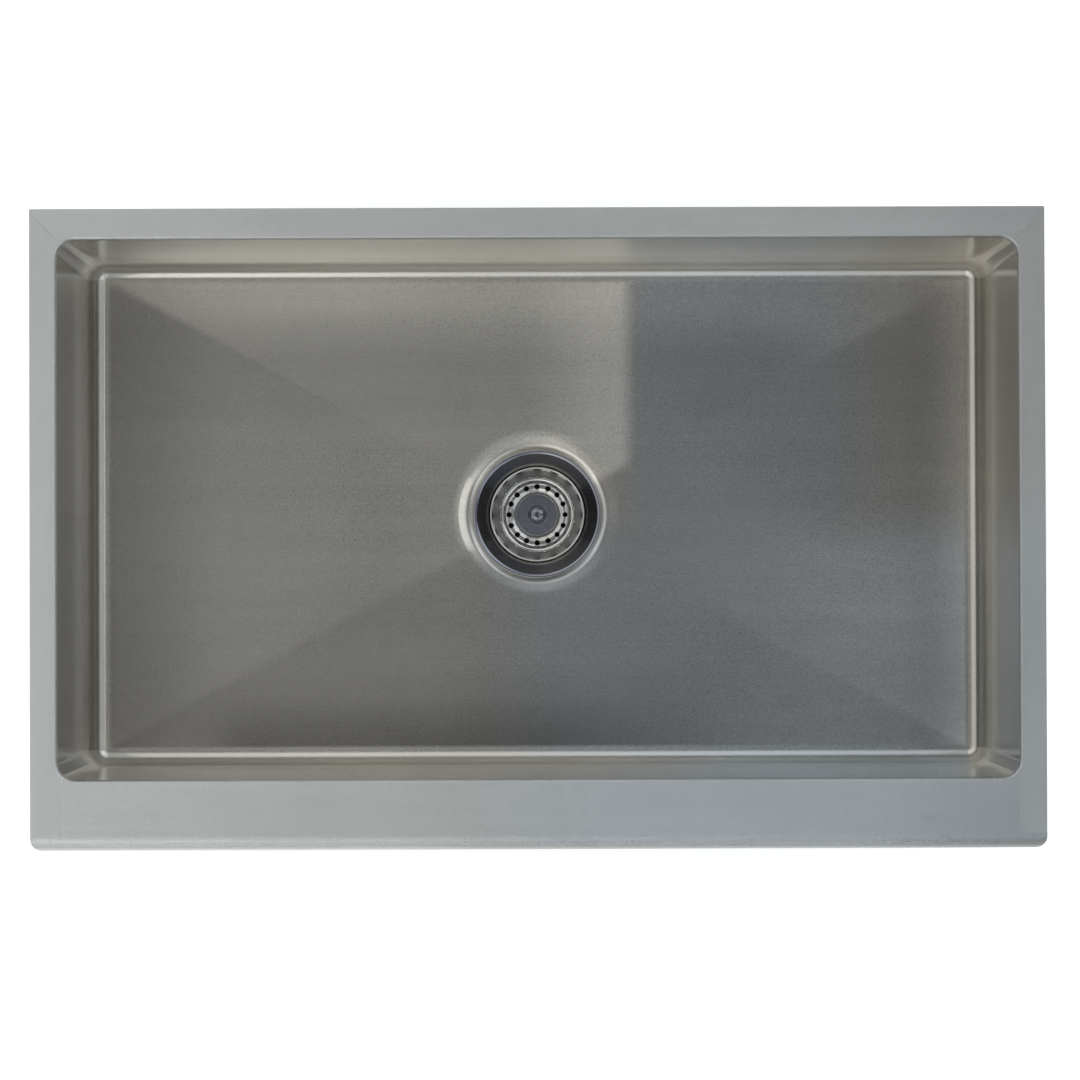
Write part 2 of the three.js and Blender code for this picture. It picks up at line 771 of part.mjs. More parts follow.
const lift = new THREE.Group();
const washer = ringGeometry(stopperWasherRadius, stemBore, stopperWasherBottom, stopperWasherThickness);
lift.add(
  piece('stem', stemGeometry(), plainSteel),
  piece('stopper', stopperGeometry(), blackRubber),
  piece('stopper_washer', washer, plainSteel),
  piece('stem_nut', stemNutGeometry(), plainSteel),
);

const basket = new THREE.Group();
const knobWasher = ringGeometry(knobWasherRadius, stemBore, knobWasherBottom, knobWasherThickness);
basket.add(
  piece('basket_cup', basketGeometry(), polishedSteel),
  piece('knob', knobGeometry(), polishedSteel),
  piece('knob_washer', knobWasher, plainSteel),
);

lift.add(basket);
strainer.add(lift);
strainer.position.z = seatHeight;

const sink = new THREE.Group();
sink.add(shell, strainer);

export default sink;
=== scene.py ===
"""The looks of a farmhouse apron front sink with its basket strainer, seen from straight above.

Everything is in metres, +Z up, with the apron facing -Y and the origin at the middle of the bowl's opening.
"""

import json
import math

import bmesh
import bpy
from mathutils import Matrix, Vector


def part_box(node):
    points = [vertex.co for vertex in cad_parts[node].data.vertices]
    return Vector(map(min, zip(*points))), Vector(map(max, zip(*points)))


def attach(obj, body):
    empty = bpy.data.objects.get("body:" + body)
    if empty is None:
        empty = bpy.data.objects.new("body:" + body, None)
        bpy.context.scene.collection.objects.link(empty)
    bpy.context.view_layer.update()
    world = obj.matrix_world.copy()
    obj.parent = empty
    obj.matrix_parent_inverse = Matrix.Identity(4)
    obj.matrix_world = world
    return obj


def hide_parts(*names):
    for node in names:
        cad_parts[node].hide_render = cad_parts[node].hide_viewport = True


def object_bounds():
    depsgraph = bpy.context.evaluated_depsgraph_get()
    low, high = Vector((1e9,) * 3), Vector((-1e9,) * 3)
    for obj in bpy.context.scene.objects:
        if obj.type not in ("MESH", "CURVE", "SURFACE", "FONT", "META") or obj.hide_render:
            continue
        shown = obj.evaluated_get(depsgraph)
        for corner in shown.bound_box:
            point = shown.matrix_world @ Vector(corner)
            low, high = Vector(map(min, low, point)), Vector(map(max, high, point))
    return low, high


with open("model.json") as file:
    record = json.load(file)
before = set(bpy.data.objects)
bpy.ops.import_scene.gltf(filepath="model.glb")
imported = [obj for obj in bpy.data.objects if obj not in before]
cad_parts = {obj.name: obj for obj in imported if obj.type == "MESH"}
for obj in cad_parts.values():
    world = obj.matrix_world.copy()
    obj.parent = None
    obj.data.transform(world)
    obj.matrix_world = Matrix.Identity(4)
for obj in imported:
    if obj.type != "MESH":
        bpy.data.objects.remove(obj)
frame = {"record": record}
cad_low, cad_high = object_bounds()

# ---------- Sizes ----------

MM = 0.001
HAIR = 0.00002  # closer than this counts as the same place
GAP = 0.3 * MM  # between parts that fit into or over each other

# Sheet work
SHEET = 1.5 * MM
SIDE_RIM = 22.5 * MM
BACK_RIM = 26 * MM
DECK_CORNER = 1 * MM
LIP_BEND = 3 * MM
BOWL_DEPTH = 245 * MM
BOWL_CORNER = 15 * MM
COVE = 14 * MM
FLOOR_FALL = 6 * MM
CREASE_BAND = 5 * MM  # half the width over which one facet of the floor turns into the next
APRON_CORNER = 10 * MM
APRON_BEND = 12 * MM
APRON_LIP = 25 * MM
DEBURRED = 0.35 * MM

# Drain seat
RECESS_RADIUS = 74 * MM
SEAT_OUTER = 57.6 * MM
SEAT_INNER = 55.5 * MM
DRAIN_HOLE = 45.5 * MM
SWAGE_DEPTH = 6.5 * MM
# The pressed recess: radius, and the share of its depth that is left there
RECESS_SECTION = [
    (72.5 * MM, 0.99), (71 * MM, 0.96), (69.5 * MM, 0.91), (67.5 * MM, 0.83),
    (65.5 * MM, 0.74), (63.5 * MM, 0.65), (62 * MM, 0.57), (61 * MM, 0.48),
    (60 * MM, 0.33), (59 * MM, 0.16), (58.3 * MM, 0.05), (SEAT_OUTER, 0),
]

# Strainer
BODY_SHEET = 1.2 * MM
BARREL_RADIUS = 43.2 * MM
BARREL_WALL = 1 * MM
NECK_RADIUS = 21.3 * MM
NECK_WALL = 2.5 * MM
CONE_DROP = 9 * MM
BASKET_SHEET = 0.8 * MM
BASKET_ROLL = 1.1 * MM
BOSS_RADIUS = 18.8 * MM
HOLE_CIRCLE = 25.2 * MM
HOLE_RADIUS = 2.4 * MM
SIDE_HOLE_RADIUS = 1.9 * MM
HOLE_COUNT = 16
BARREL_PITCH = 2.4 * MM
NECK_PITCH = 2.2 * MM
STEM_BORE = 4.3 * MM
OUTLET_BORE = 19.35 * MM

ROUND_STEPS = 128
CORNER_STEPS = 8
COVE_STEPS = 10
BEND_STEPS = 5

bowl_low, bowl_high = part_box("bowl")
apron_low, apron_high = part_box("apron_front")
half_width = bowl_high.x
back_edge = bowl_high.y
seam = bowl_low.y
apron_face = apron_low.y
open_half_width = half_width - SIDE_RIM
open_half_depth = back_edge - BACK_RIM
floor_half_width = open_half_width - COVE
floor_half_depth = open_half_depth - COVE
crease_angle = math.atan2(floor_half_depth, floor_half_width)
body_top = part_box("strainer_body")[1].z
seat = body_top - 2.6 * MM
swage_angle = math.atan2(SWAGE_DEPTH, SEAT_INNER - DRAIN_HOLE)

# ---------- Camera ----------

CAMERA_PLACE = Vector((-0.0065, -0.0614, 3.066))
CAMERA_AIM = Vector((0.0017, -0.026, 0))
CAMERA_ROLL = math.radians(-0.2)
CAMERA_LENS = 124


def place_camera():
    camera = bpy.data.cameras.new("camera")
    camera.lens = CAMERA_LENS
    camera.sensor_width = 36
    holder = bpy.data.objects.new("camera", camera)
    bpy.context.scene.collection.objects.link(holder)
    ahead = (CAMERA_AIM - CAMERA_PLACE).normalized()
    right = ahead.cross(Vector((0, 1, 0))).normalized()
    look = Matrix((right, right.cross(ahead), -ahead)).transposed().to_4x4()
    holder.matrix_world = Matrix.Translation(CAMERA_PLACE) @ look @ Matrix.Rotation(CAMERA_ROLL, 4, "Z")
    bpy.context.scene.camera = holder


place_camera()

# ---------- Shader expressions ----------


class Wire:
    """One output of a shader node. Sums and products of wires and numbers add their Math nodes."""

    def __init__(self, tree, socket=None):
        self.tree = tree
        self.socket = socket

    def node(self, kind, settings=None, sockets=None, output=0):
        """One output of a new node, whose settings are made before its sockets are filled or linked."""
        made = self.tree.nodes.new(kind)
        for name, value in (settings or {}).items():
            setattr(made, name, value)
        for name, value in (sockets or {}).items():
            if isinstance(value, Wire):
                self.tree.links.new(value.socket, made.inputs[name])
            else:
                made.inputs[name].default_value = value
        return Wire(self.tree, made.outputs[output] if made.outputs else None)

    def math(self, operation, *values):
        return self.node("ShaderNodeMath", {"operation": operation}, dict(enumerate(values)))

    def __add__(self, other):
        return self.math("ADD", self, other)

    def __radd__(self, other):
        return self.math("ADD", other, self)

    def __sub__(self, other):
        return self.math("SUBTRACT", self, other)

    def __rsub__(self, other):
        return self.math("SUBTRACT", other, self)

    def __mul__(self, other):
        return self.math("MULTIPLY", self, other)

    def __rmul__(self, other):
        return self.math("MULTIPLY", other, self)

    def __truediv__(self, other):
        return self.math("DIVIDE", self, other)

    def __gt__(self, other):
        return self.math("GREATER_THAN", self, other)

    def __lt__(self, other):
        return self.math("LESS_THAN", self, other)

    def __abs__(self):
        return self.math("ABSOLUTE", self)

    def most(self, other):
        return self.math("MAXIMUM", self, other)

    def power(self, exponent):
        return self.math("POWER", self, exponent)

    def rise(self, low, high):
        """0 below low and 1 above high, with a smooth step between; falls where low is the larger."""
        settings = {"interpolation_type": "SMOOTHSTEP"}
        return self.node("ShaderNodeMapRange", settings, {"Value": self, "From Min": low, "From Max": high})

    def vector(self, operation, *values):
        return self.node("ShaderNodeVectorMath", {"operation": operation}, dict(enumerate(values)))

    def stretched(self, factor):
        """This vector, longer by a plain number or a wire."""
        return self.node("ShaderNodeVectorMath", {"operation": "SCALE"}, {0: self, "Scale": factor})

    def parts(self):
        """The three numbers of a vector."""
        return [self.node("ShaderNodeSeparateXYZ", None, {0: self}, axis) for axis in range(3)]

    def joined(self, x, y, z):
        """A vector of three numbers."""
        return self.node("ShaderNodeCombineXYZ", None, {0: x, 1: y, 2: z})

    def pick_vector(self, off, on):
        """Where this mask is 0 the vector off, where it is 1 the vector on."""
        return self.node("ShaderNodeMix", {"data_type": "VECTOR"}, {0: self, 4: off, 5: on}, 1)

    def pick_colour(self, off, on):
        """Where this mask is 0 the colour off, where it is 1 the colour on."""
        return self.node("ShaderNodeMix", {"data_type": "RGBA"}, {0: self, 6: off, 7: on}, 2)

    def noise(self, place, scale, detail, roughness):
        sockets = {"Vector": place, "Scale": scale, "Detail": detail, "Roughness": roughness}
        return self.node("ShaderNodeTexNoise", None, sockets)

    def bumps(self, height, distance):
        return self.node("ShaderNodeBump", None, {"Height": height, "Distance": distance})


def grey(level):
    return (level, level, level, 1)


def new_material(name):
    """An empty material and a wire that adds nodes to it."""
    material = bpy.data.materials.new(name)
    material.use_nodes = True
    material.node_tree.nodes.clear()
    return material, Wire(material.node_tree)


def show(wire, surface):
    wire.node("ShaderNodeOutputMaterial", None, {"Surface": surface})


def finished(material, wire, colour, roughness, normal, metallic=0.0):
    """The material, ended in one shader."""
    show(wire, wire.node("ShaderNodeBsdfPrincipled", None, {
        "Base Color": colour, "Metallic": metallic, "Roughness": roughness, "Normal": normal,
    }))
    return material


# ---------- Finishes ----------


def across_the_grain(wire, facing, along_y):
    """The direction in the surface at a right angle to its brushing along X or, on the rims, along Y."""
    over = wire.vector("ADD", wire.vector("CROSS_PRODUCT", facing, (1, 0, 0)), (0, 0.02, 0))
    return wire.vector("NORMALIZE", along_y.pick_vector(over, (1, 0, 0)))


class SteelPlace:
    """Where a point of the sink's sheets lies. A mask is 1 on what its name says and 0 off it."""

    def __init__(self, wire):
        self.place = wire.node("ShaderNodeTexCoord", output="Object")
        self.facing = wire.node("ShaderNodeNewGeometry", output="Normal")
        x, y, z = self.place.parts()
        self.x, self.y, self.z = x, y, z
        self.height = z + BOWL_DEPTH  # over the floor's edge
        self.on_floor = self.height.rise(2 * MM, 0)
        self.on_deck = z > -LIP_BEND
        self.on_apron = y < seam
        beyond_side = abs(x) - open_half_width
        self.on_rim = (beyond_side > 0) * (beyond_side > y - open_half_depth) * self.on_deck * (y > seam)
        self.facing_x = abs(self.facing.parts()[0]) > 0.7


def painted_floor_light(at):
    """Painted light and shade on the floor's four facets, lit at the back as far as an upright edge a little
    right of the drain.
    """
    x, y = at.x, at.y
    margin = 4 * MM
    inside = abs(x).rise(floor_half_width, floor_half_width - margin)
    inside = inside * abs(y).rise(floor_half_depth, floor_half_depth - margin)
    crease = 6 * MM
    over_crease = abs(y) - abs(x) * math.tan(crease_angle)
    ahead, aside = over_crease.rise(-crease, crease), over_crease.rise(crease, -crease)
    # The back facet: painted light left of an upright edge and painted shade right of it.
    lit = y.rise(0.13, 0.2) * 0.4 + x.rise(-0.02, 0.07) * 0.35 - 0.15
    unlit = 0.1 + y.rise(0.185, 0.14) * x.rise(0.3, 0.2) * 0.2
    back = ahead * (y > 0) * (x.rise(90 * MM, 71 * MM) * lit - x.rise(74 * MM, 90 * MM) * unlit)
    # Painted shade on the front and side facets, darkest along the front edge and by the left wall, and a
    # painted highlight by the right wall.
    front = ahead * (y < 0) * (0.24 - x.rise(0.15, 0.3) * 0.14)
    front_edge = y.rise(-0.14, -0.21) * x.rise(0.22, 0) * x.rise(-0.33, -0.25) * 0.35
    left = aside * (x < 0) * 0.12
    left_edge = x.rise(-0.27, -floor_half_width) * 0.24
    right = aside * (x > 0) * (0.27 - y.rise(0.03, -0.06) * x.rise(0.12, 0.35) * 0.35)
    right_edge = x.rise(0.33, floor_half_width) * 0.35
    return inside * (back - front - front_edge - left - left_edge - right + right_edge)


def painted_recess_light(at):
    """Painted light on the pressed recess round the drain: a painted highlight at the back left and a bright
    painted crescent at the left.
    """
    x, y = at.x, at.y
    radius = (x * x + y * y).power(0.5)
    inside = radius.rise(RECESS_RADIUS + 3 * MM, RECESS_RADIUS - 3 * MM) * (1 - at.on_deck)
    inner = radius.rise(66 * MM, 61 * MM)
    back_left = (y - x).rise(0, 60 * MM) * (1 - inner) * 0.35
    # A painted highlight on the recess's inner edge and painted shade on its inner part; the crescent is a
    # painted reflection.
    inner_edge = radius.rise(62 * MM, 60.5 * MM) * 0.45
    crescent = x.rise(-40 * MM, -62 * MM) * abs(y).rise(36 * MM, 20 * MM) * (0.12 - inner * 0.25)
    return inside * (back_left + inner_edge + crescent - inner * 0.2)


def painted_wall_light(at):
    """Painted light on the walls and coves, with painted shade on the side walls above their foot."""
    x, y, height = at.x, at.y, at.height
    in_bowl = (abs(x) < open_half_width + HAIR) * (abs(y) < open_half_depth + HAIR)
    wall = height.rise(8 * MM, 20 * MM) * in_bowl * (1 - at.on_deck)
    cove = height.rise(2 * MM, 5 * MM) * height.rise(22 * MM, 12 * MM)
    foot = height.rise(90 * MM, 40 * MM)
    # Painted shade on the side walls; painted light on the other walls and the coves, more at the back left
    # and on the right.
    side = at.facing_x * ((1 - foot) * (0.7 + (x < 0) * 0.28) + 0.1)
    back_left = (y > 0) * x.rise(0.05, -0.1) * 0.12
    return wall * (0.48 - side + back_left) + cove * (0.4 + x * 0.4)


def deck_welds_and_painted_light(at):
    """The deck with its mitre welds and painted light, and the apron, whose bend and front have painted
    shade.
    """
    x, y = at.x, at.y
    off_mitre = abs(abs(x) - y - (open_half_width - open_half_depth))
    mitre = off_mitre.rise(0.7 * MM, 0.3 * MM) * (y > open_half_depth)
    # Painted light, brighter towards the left and front of the rims, and painted shade at the deck's right
    # end; the mitre welds are darker lines.
    rims = at.on_rim * (0.12 - x * 0.2 - y * 0.2)
    deck = at.on_deck * (0.12 + rims - mitre * 0.2 - x.rise(0.25, 0.42) * 0.14)
    # Painted shade on the apron's top bend and on its front below it.
    on_bend = y.rise(apron_face + APRON_BEND, apron_face + 4 * MM)
    bend = on_bend * (x.rise(-0.15, 0) * 0.14 + x.rise(0.2, 0.42) * 0.1)
    return deck - bend - at.on_apron * (1 - at.on_deck) * 0.2


def steel_tone_and_painted_cool(at):
    """Warm in the bowl and less so on the deck, with a painted cool reflection along the front and on the
    right of the floor.
    """
    x, y = at.x, at.y
    warm = at.on_deck.most(at.on_apron).pick_vector((1.24, 1.19, 1.10), (1.17, 1.19, 1.16))
    # Painted cool reflection: where it lies along the front and on the right of the floor.
    start = 0.05 - at.on_floor.most(at.on_deck) * 0.15
    front = x.rise(start, start + 0.15) * y.rise(0.04, -0.05)
    back = x.rise(0.07, 0.1) * x.rise(0.34, 0.24) * at.on_floor * 0.9
    painted_cool = front.most(back) * (abs(x) < floor_half_width).most(at.on_deck)
    return painted_cool.pick_vector(warm, (1.13, 1.19, 1.22))


def brushed_sink_steel():
    """Satin sheet steel, brushed along the length of each sheet.

    Floor, recess, walls and deck each have their own painted light and shade in the colour, which is also
    painted brighter to the left.
    """
    material, wire = new_material("sink_steel")
    at = SteelPlace(wire)
    x, y, z = at.x, at.y, at.z
    # Where the brushing runs along X, Y or Z, that axis is the slow one of the streaks
    swapped = at.on_rim.pick_vector(at.place, wire.joined(y, x, z))
    streak_place = (at.facing_x * (1 - at.on_rim)).pick_vector(swapped, wire.joined(z, y, x))

    def streaks(along, across, detail, roughness):
        """Noise that is drawn out along the brushing."""
        drawn_out = wire.vector("MULTIPLY", streak_place, (along, across, across))
        return wire.noise(drawn_out, 1, detail, roughness)

    grain = streaks(700, 9000, 1, 0.5)
    haze = streaks(1500, 8000, 1, 0.5)
    hairlines = streaks(14, 1400, 2, 0.6) - 0.5
    strokes = streaks(4, 300, 3, 0.6) - 0.5
    bands = streaks(1.6, 36, 2, 0.5) - 0.5
    clouds = wire.noise(at.place, 9, 3, 0.55) - 0.5
    coarse = (z > -LIP_BEND / 2).most(at.on_apron)

    lean = grain * 2 - 1
    tilt = lean * (0.07 + coarse * 0.9) + lean * lean * lean * (0.6 + coarse * 2) + hairlines * 0.02
    across = across_the_grain(wire, at.facing, at.on_rim)
    normal = wire.vector("NORMALIZE", wire.vector("ADD", at.facing, across.stretched(tilt)))

    on_cove = at.height.rise(1 * MM, 4 * MM) * at.height.rise(60 * MM, 20 * MM)
    on_cove = on_cove * (abs(y) > floor_half_depth - HAIR)
    roughness = 0.1 + coarse * 0.05 + haze.rise(0.44, 0.58) * 0.34
    roughness = roughness + bands * 0.04 + clouds * 0.04 + on_cove * 0.28

    wear = 1 + hairlines * 0.16 + strokes * 0.12 + bands * 0.12 + clouds * 0.12
    # Painted light: brighter towards the left, plus the painted light and shade of each sheet.
    painted_light = 1 - x * 0.15 + painted_floor_light(at) + painted_recess_light(at) + painted_wall_light(at) + deck_welds_and_painted_light(at)
    colour = steel_tone_and_painted_cool(at).stretched(wear * painted_light * 0.5)
    return finished(material, wire, colour, roughness, normal, 1.0)


def turned_steel(name, tone, roughness):
    """Steel spun on a lathe: rings round the axis, a slightly scuffed face, and painted shade in the
    strainer's dish and on its boss.
    """
    material, wire = new_material(name)
    place = wire.node("ShaderNodeTexCoord", output="Object")
    x, y, z = place.parts()
    radius = (x * x + y * y).power(0.5)
    rings = wire.noise(wire.joined(radius * 1800, z * 1800, 0), 1, 2, 0.6)
    scuffs = wire.noise(place, 260, 3, 0.6) - 0.5
    in_dish = radius.rise(SEAT_INNER + 1.5 * MM, SEAT_INNER)
    in_dish = in_dish * radius.rise(BARREL_RADIUS + 1.5 * MM, BARREL_RADIUS + 3 * MM)
    on_boss = radius.rise(BOSS_RADIUS, BOSS_RADIUS - 1 * MM) * (z > seat - 30 * MM)
    on_knob = radius.rise(9 * MM, 8 * MM) * on_boss
    in_basket = z > seat - 31.5 * MM
    on_side = radius.rise(BARREL_RADIUS - 3 * MM, BARREL_RADIUS - 4 * MM)
    on_side = on_side * radius.rise(33 * MM, 35 * MM) * in_basket
    on_step = radius.rise(25 * MM, 22 * MM) * radius.rise(BOSS_RADIUS - 1 * MM, BOSS_RADIUS) * in_basket
    # Painted shade: darker in the dish, on the boss and knob, and on the basket's side and step.
    painted_shade = in_dish * 0.6 + on_boss * 0.35 + on_knob * 0.32 + on_side * 0.42 + on_step * 0.35
    shade = (1 + (rings - 0.5) * 0.12 + scuffs * 0.14) * (1 - painted_shade)
    red, green, blue = tone
    # Painted bluish reflection on the boss and in the dish.
    tint = on_boss.most(in_dish).pick_vector(tone, (red * 0.92, green * 0.95, blue * 1.12))
    roughness = roughness + (rings - 0.5) * 0.1 + scuffs * 0.08 + on_side * 0.22
    return finished(material, wire, tint.stretched(shade), roughness, wire.bumps(rings, 0.004 * MM), 1.0)


def undercoat():
    """Grey sound-deadening paint, sprayed thick with a pebbled face."""
    material, wire = new_material("undercoat")
    place = wire.node("ShaderNodeTexCoord", output="Object")
    cells = {"Vector": place, "Scale": 420, "Smoothness": 0.6}
    drops = wire.node("ShaderNodeTexVoronoi", {"feature": "SMOOTH_F1"}, cells)
    spray = wire.noise(place, 900, 3, 0.6)
    drifts = wire.noise(place, 7, 3, 0.5)
    pebbles = spray * 0.5 - drops * 0.8
    colour = (drifts * 0.7 + spray * 0.3).pick_colour((0.20, 0.205, 0.21, 1), (0.33, 0.335, 0.34, 1))
    return finished(material, wire, colour, 0.62 + drops * 0.3, wire.bumps(pebbles, 0.35 * MM))


def rubber(name, dark, light, grain):
    """Moulded rubber with a dull, slightly dusty skin."""
    material, wire = new_material(name)
    place = wire.node("ShaderNodeTexCoord", output="Object")
    skin = wire.noise(place, grain, 3, 0.6)
    dust = wire.noise(place, 22, 4, 0.6).rise(0.45, 0.75)
    colour = (skin * 0.5 + dust * 0.5).pick_colour(dark, light)
    return finished(material, wire, colour, 0.6 + dust * 0.25, wire.bumps(skin, 0.06 * MM))


def nut_brass():
    """Cast and machined brass, with random patches of tarnish."""
    material, wire = new_material("nut_brass")
    place = wire.node("ShaderNodeTexCoord", output="Object")
    cast = wire.noise(place, 700, 3, 0.6)
    tarnish = wire.noise(place, 60, 4, 0.6).rise(0.42, 0.72)
    colour = tarnish.pick_colour((0.62, 0.46, 0.2, 1), (0.34, 0.23, 0.1, 1))
    roughness = 0.28 + tarnish * 0.25 + cast * 0.08
    return finished(material, wire, colour, roughness, wire.bumps(cast, 0.03 * MM), 1.0)


def pressed_fibre():
    """Hard brown board with short crossed fibres."""
    material, wire = new_material("fibre")
    place = wire.node("ShaderNodeTexCoord", output="Object")
    threads = wire.noise(wire.vector("MULTIPLY", place, (400, 2200, 900)), 1, 3, 0.65)
    crossing = wire.noise(wire.vector("MULTIPLY", place, (2200, 400, 900)), 1, 3, 0.65)
    weave = threads.most(crossing)
    colour = weave.rise(0.4, 0.7).pick_colour((0.2, 0.13, 0.07, 1), (0.38, 0.27, 0.15, 1))
    return finished(material, wire, colour, 0.85 + weave * 0.1, wire.bumps(weave, 0.05 * MM))


FINISHES = {
    "sink_steel": brushed_sink_steel(),
    "polished_steel": turned_steel("polished_steel", (0.66, 0.655, 0.64), 0.10),
    "plain_steel": turned_steel("plain_steel", (0.5, 0.5, 0.5), 0.30),
    "nut_brass": nut_brass(),
    "black_rubber": rubber("black_rubber", (0.012, 0.012, 0.013, 1), grey(0.05), 900),
    "pad_rubber": rubber("pad_rubber", (0.04, 0.041, 0.044, 1), (0.1, 0.1, 0.105, 1), 500),
    "fibre": pressed_fibre(),
}
UNDERCOAT = undercoat()

# ---------- Modelling tools ----------


def empty_hands():
    """Leaves edit mode and selects nothing, so that the next tool touches only what it adds."""
    if bpy.context.object and bpy.context.object.mode == "EDIT":
        bpy.ops.object.mode_set(mode="OBJECT")
    bpy.ops.object.select_all(action="DESELECT")


def named(name):
    """The object just added, named and with its place in its mesh."""
    piece = bpy.context.object
    piece.name = piece.data.name = name
    bpy.ops.object.transform_apply(location=True, rotation=True, scale=True)
    return piece


def take(piece):
    empty_hands()
    piece.select_set(True)
    bpy.context.view_layer.objects.active = piece


def edit(piece):
    """Opens the mesh of just this piece."""
    take(piece)
    bpy.ops.object.mode_set(mode="EDIT")


def choose(kind, wanted):
    """In edit mode, selects just the vertices, edges or faces that are wanted."""
    bpy.ops.mesh.select_mode(type=kind)
    bpy.ops.mesh.select_all(action="DESELECT")
    mesh = bmesh.from_edit_mesh(bpy.context.object.data)
    for part in {"VERT": mesh.verts, "EDGE": mesh.edges, "FACE": mesh.faces}[kind]:
        if wanted(part):
            part.select_set(True)
    mesh.select_flush_mode()
    bmesh.update_edit_mesh(bpy.context.object.data)


def middle(face):
    return face.calc_center_median()


def faces_outwards():
    bpy.ops.mesh.select_all(action="SELECT")
    bpy.ops.mesh.remove_doubles(threshold=HAIR / 10)
    bpy.ops.mesh.normals_make_consistent(inside=False)


def apply_modifier(piece, kind, **settings):
    take(piece)
    bpy.ops.object.modifier_add(type=kind)
    modifier = piece.modifiers[-1]
    for name, value in settings.items():
        setattr(modifier, name, value)
    bpy.ops.object.modifier_apply(modifier=modifier.name)


def combine(piece, tool, operation):
    """Cuts or joins the piece with the tool, which is used up."""
    apply_modifier(piece, "BOOLEAN", operation=operation, solver="EXACT", object=tool)
    bpy.data.objects.remove(tool)


def deburr(width, spared=lambda edge: False):
    """In edit mode, rounds every sharp edge but those that are spared."""
    sharp = math.radians(50)
    choose("EDGE", lambda edge: edge.calc_face_angle(0) > sharp and not spared(edge))
    bpy.ops.mesh.bevel(offset=width, segments=2, affect="EDGES", clamp_overlap=True)


def draw_out(radius, height, section):
    """In edit mode, extrudes the selected circle through the section's radii and heights."""
    for next_radius, next_height in section:
        rise = {"value": (0, 0, next_height - height)}
        bpy.ops.mesh.extrude_region_move(TRANSFORM_OT_translate=rise)
        share = next_radius / radius
        bpy.ops.transform.resize(value=(share, share, 1), center_override=(0, 0, next_height))
        radius, height = next_radius, next_height


def turn(name, section, steps=ROUND_STEPS):
    """A turned piece: a circle drawn out through its section, which closes on itself or ends on the axis."""
    empty_hands()
    radius, height = section[0]
    bpy.ops.mesh.primitive_circle_add(vertices=steps, radius=radius, location=(0, 0, height))
    piece = named(name)
    edit(piece)
    bpy.ops.mesh.select_all(action="SELECT")
    draw_out(radius, height, section[1:])
    bpy.ops.mesh.select_all(action="SELECT")
    bpy.ops.mesh.remove_doubles(threshold=HAIR / 10)
    bpy.ops.mesh.select_all(action="DESELECT")
    bpy.ops.mesh.select_mode(type="EDGE")
    bpy.ops.mesh.select_non_manifold()
    if section[-1][0] == 0:
        bpy.ops.mesh.edge_face_add()
    else:
        bpy.ops.mesh.bridge_edge_loops()
    faces_outwards()
    empty_hands()
    return piece


def arc(radius, height, size, start, end, steps=5):
    """Points on a round stretch of a section, between two directions in degrees."""
    turns = [math.radians(start + (end - start) * step / steps) for step in range(steps + 1)]
    return [(radius + size * math.cos(turn), height + size * math.sin(turn)) for turn in turns]


def block(name, low, high):
    empty_hands()
    low, high = Vector(low), Vector(high)
    bpy.ops.mesh.primitive_cube_add(size=1, location=(low + high) / 2, scale=high - low)
    return named(name)


def stand_in(piece, node, slot, soft_angle=32):
    """Smooths the finished piece over its soft bends and ties it to the node that it stands for."""
    take(piece)
    bpy.ops.object.shade_smooth_by_angle(angle=math.radians(soft_angle))
    apply_modifier(piece, "WEIGHTED_NORMAL", keep_sharp=True, weight=80)
    if not piece.data.materials:
        piece.data.materials.append(FINISHES[slot])
    bodies = frame["record"]["behaviour"]["bodies"]
    empty_hands()
    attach(piece, next(body for body, nodes in bodies.items() if node in nodes))
    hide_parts(node)


# ---------- Bowl ----------


def add_loop(left, right, front, back, radius):
    """In edit mode, adds a rectangle with round corners on the deck, as a loop of edges."""
    centre = ((left + right) / 2, (front + back) / 2, 0)
    bpy.ops.mesh.primitive_plane_add(size=1, location=centre)
    bpy.ops.transform.resize(value=(right - left, back - front, 1), center_override=centre)
    bpy.ops.mesh.bevel(offset=radius, segments=CORNER_STEPS, affect="VERTICES")
    bpy.ops.mesh.delete(type="ONLY_FACE")


def in_opening(vertex, height):
    """True for the points of the opening's loop at one height."""
    near = abs(vertex.co.z - height) < HAIR
    reach_x, reach_y = open_half_width + LIP_BEND + HAIR, open_half_depth + LIP_BEND + HAIR
    return near and abs(vertex.co.x) < reach_x and abs(vertex.co.y) < reach_y


def draw_wall(steps):
    """Extrudes the opening's loop down through steps of (inset, height), and draws its round corners in."""
    inset, height = steps[0]
    corner_x, corner_y = open_half_width - BOWL_CORNER, open_half_depth - BOWL_CORNER
    for next_inset, next_height in steps[1:]:
        choose("VERT", lambda vertex: in_opening(vertex, height))
        rise = {"value": (0, 0, next_height - height)}
        bpy.ops.mesh.extrude_region_move(TRANSFORM_OT_translate=rise)
        share = (BOWL_CORNER - next_inset) / (BOWL_CORNER - inset)
        for side, end in ((-1, -1), (-1, 1), (1, -1), (1, 1)):
            centre = (side * corner_x, end * corner_y, next_height)
            choose("VERT", lambda vertex: in_opening(vertex, next_height)
                   and vertex.co.x * side > 0 and vertex.co.y * end > 0)
            bpy.ops.transform.resize(value=(share, share, 1), center_override=centre)
        inset, height = next_inset, next_height
    choose("VERT", lambda vertex: in_opening(vertex, height))


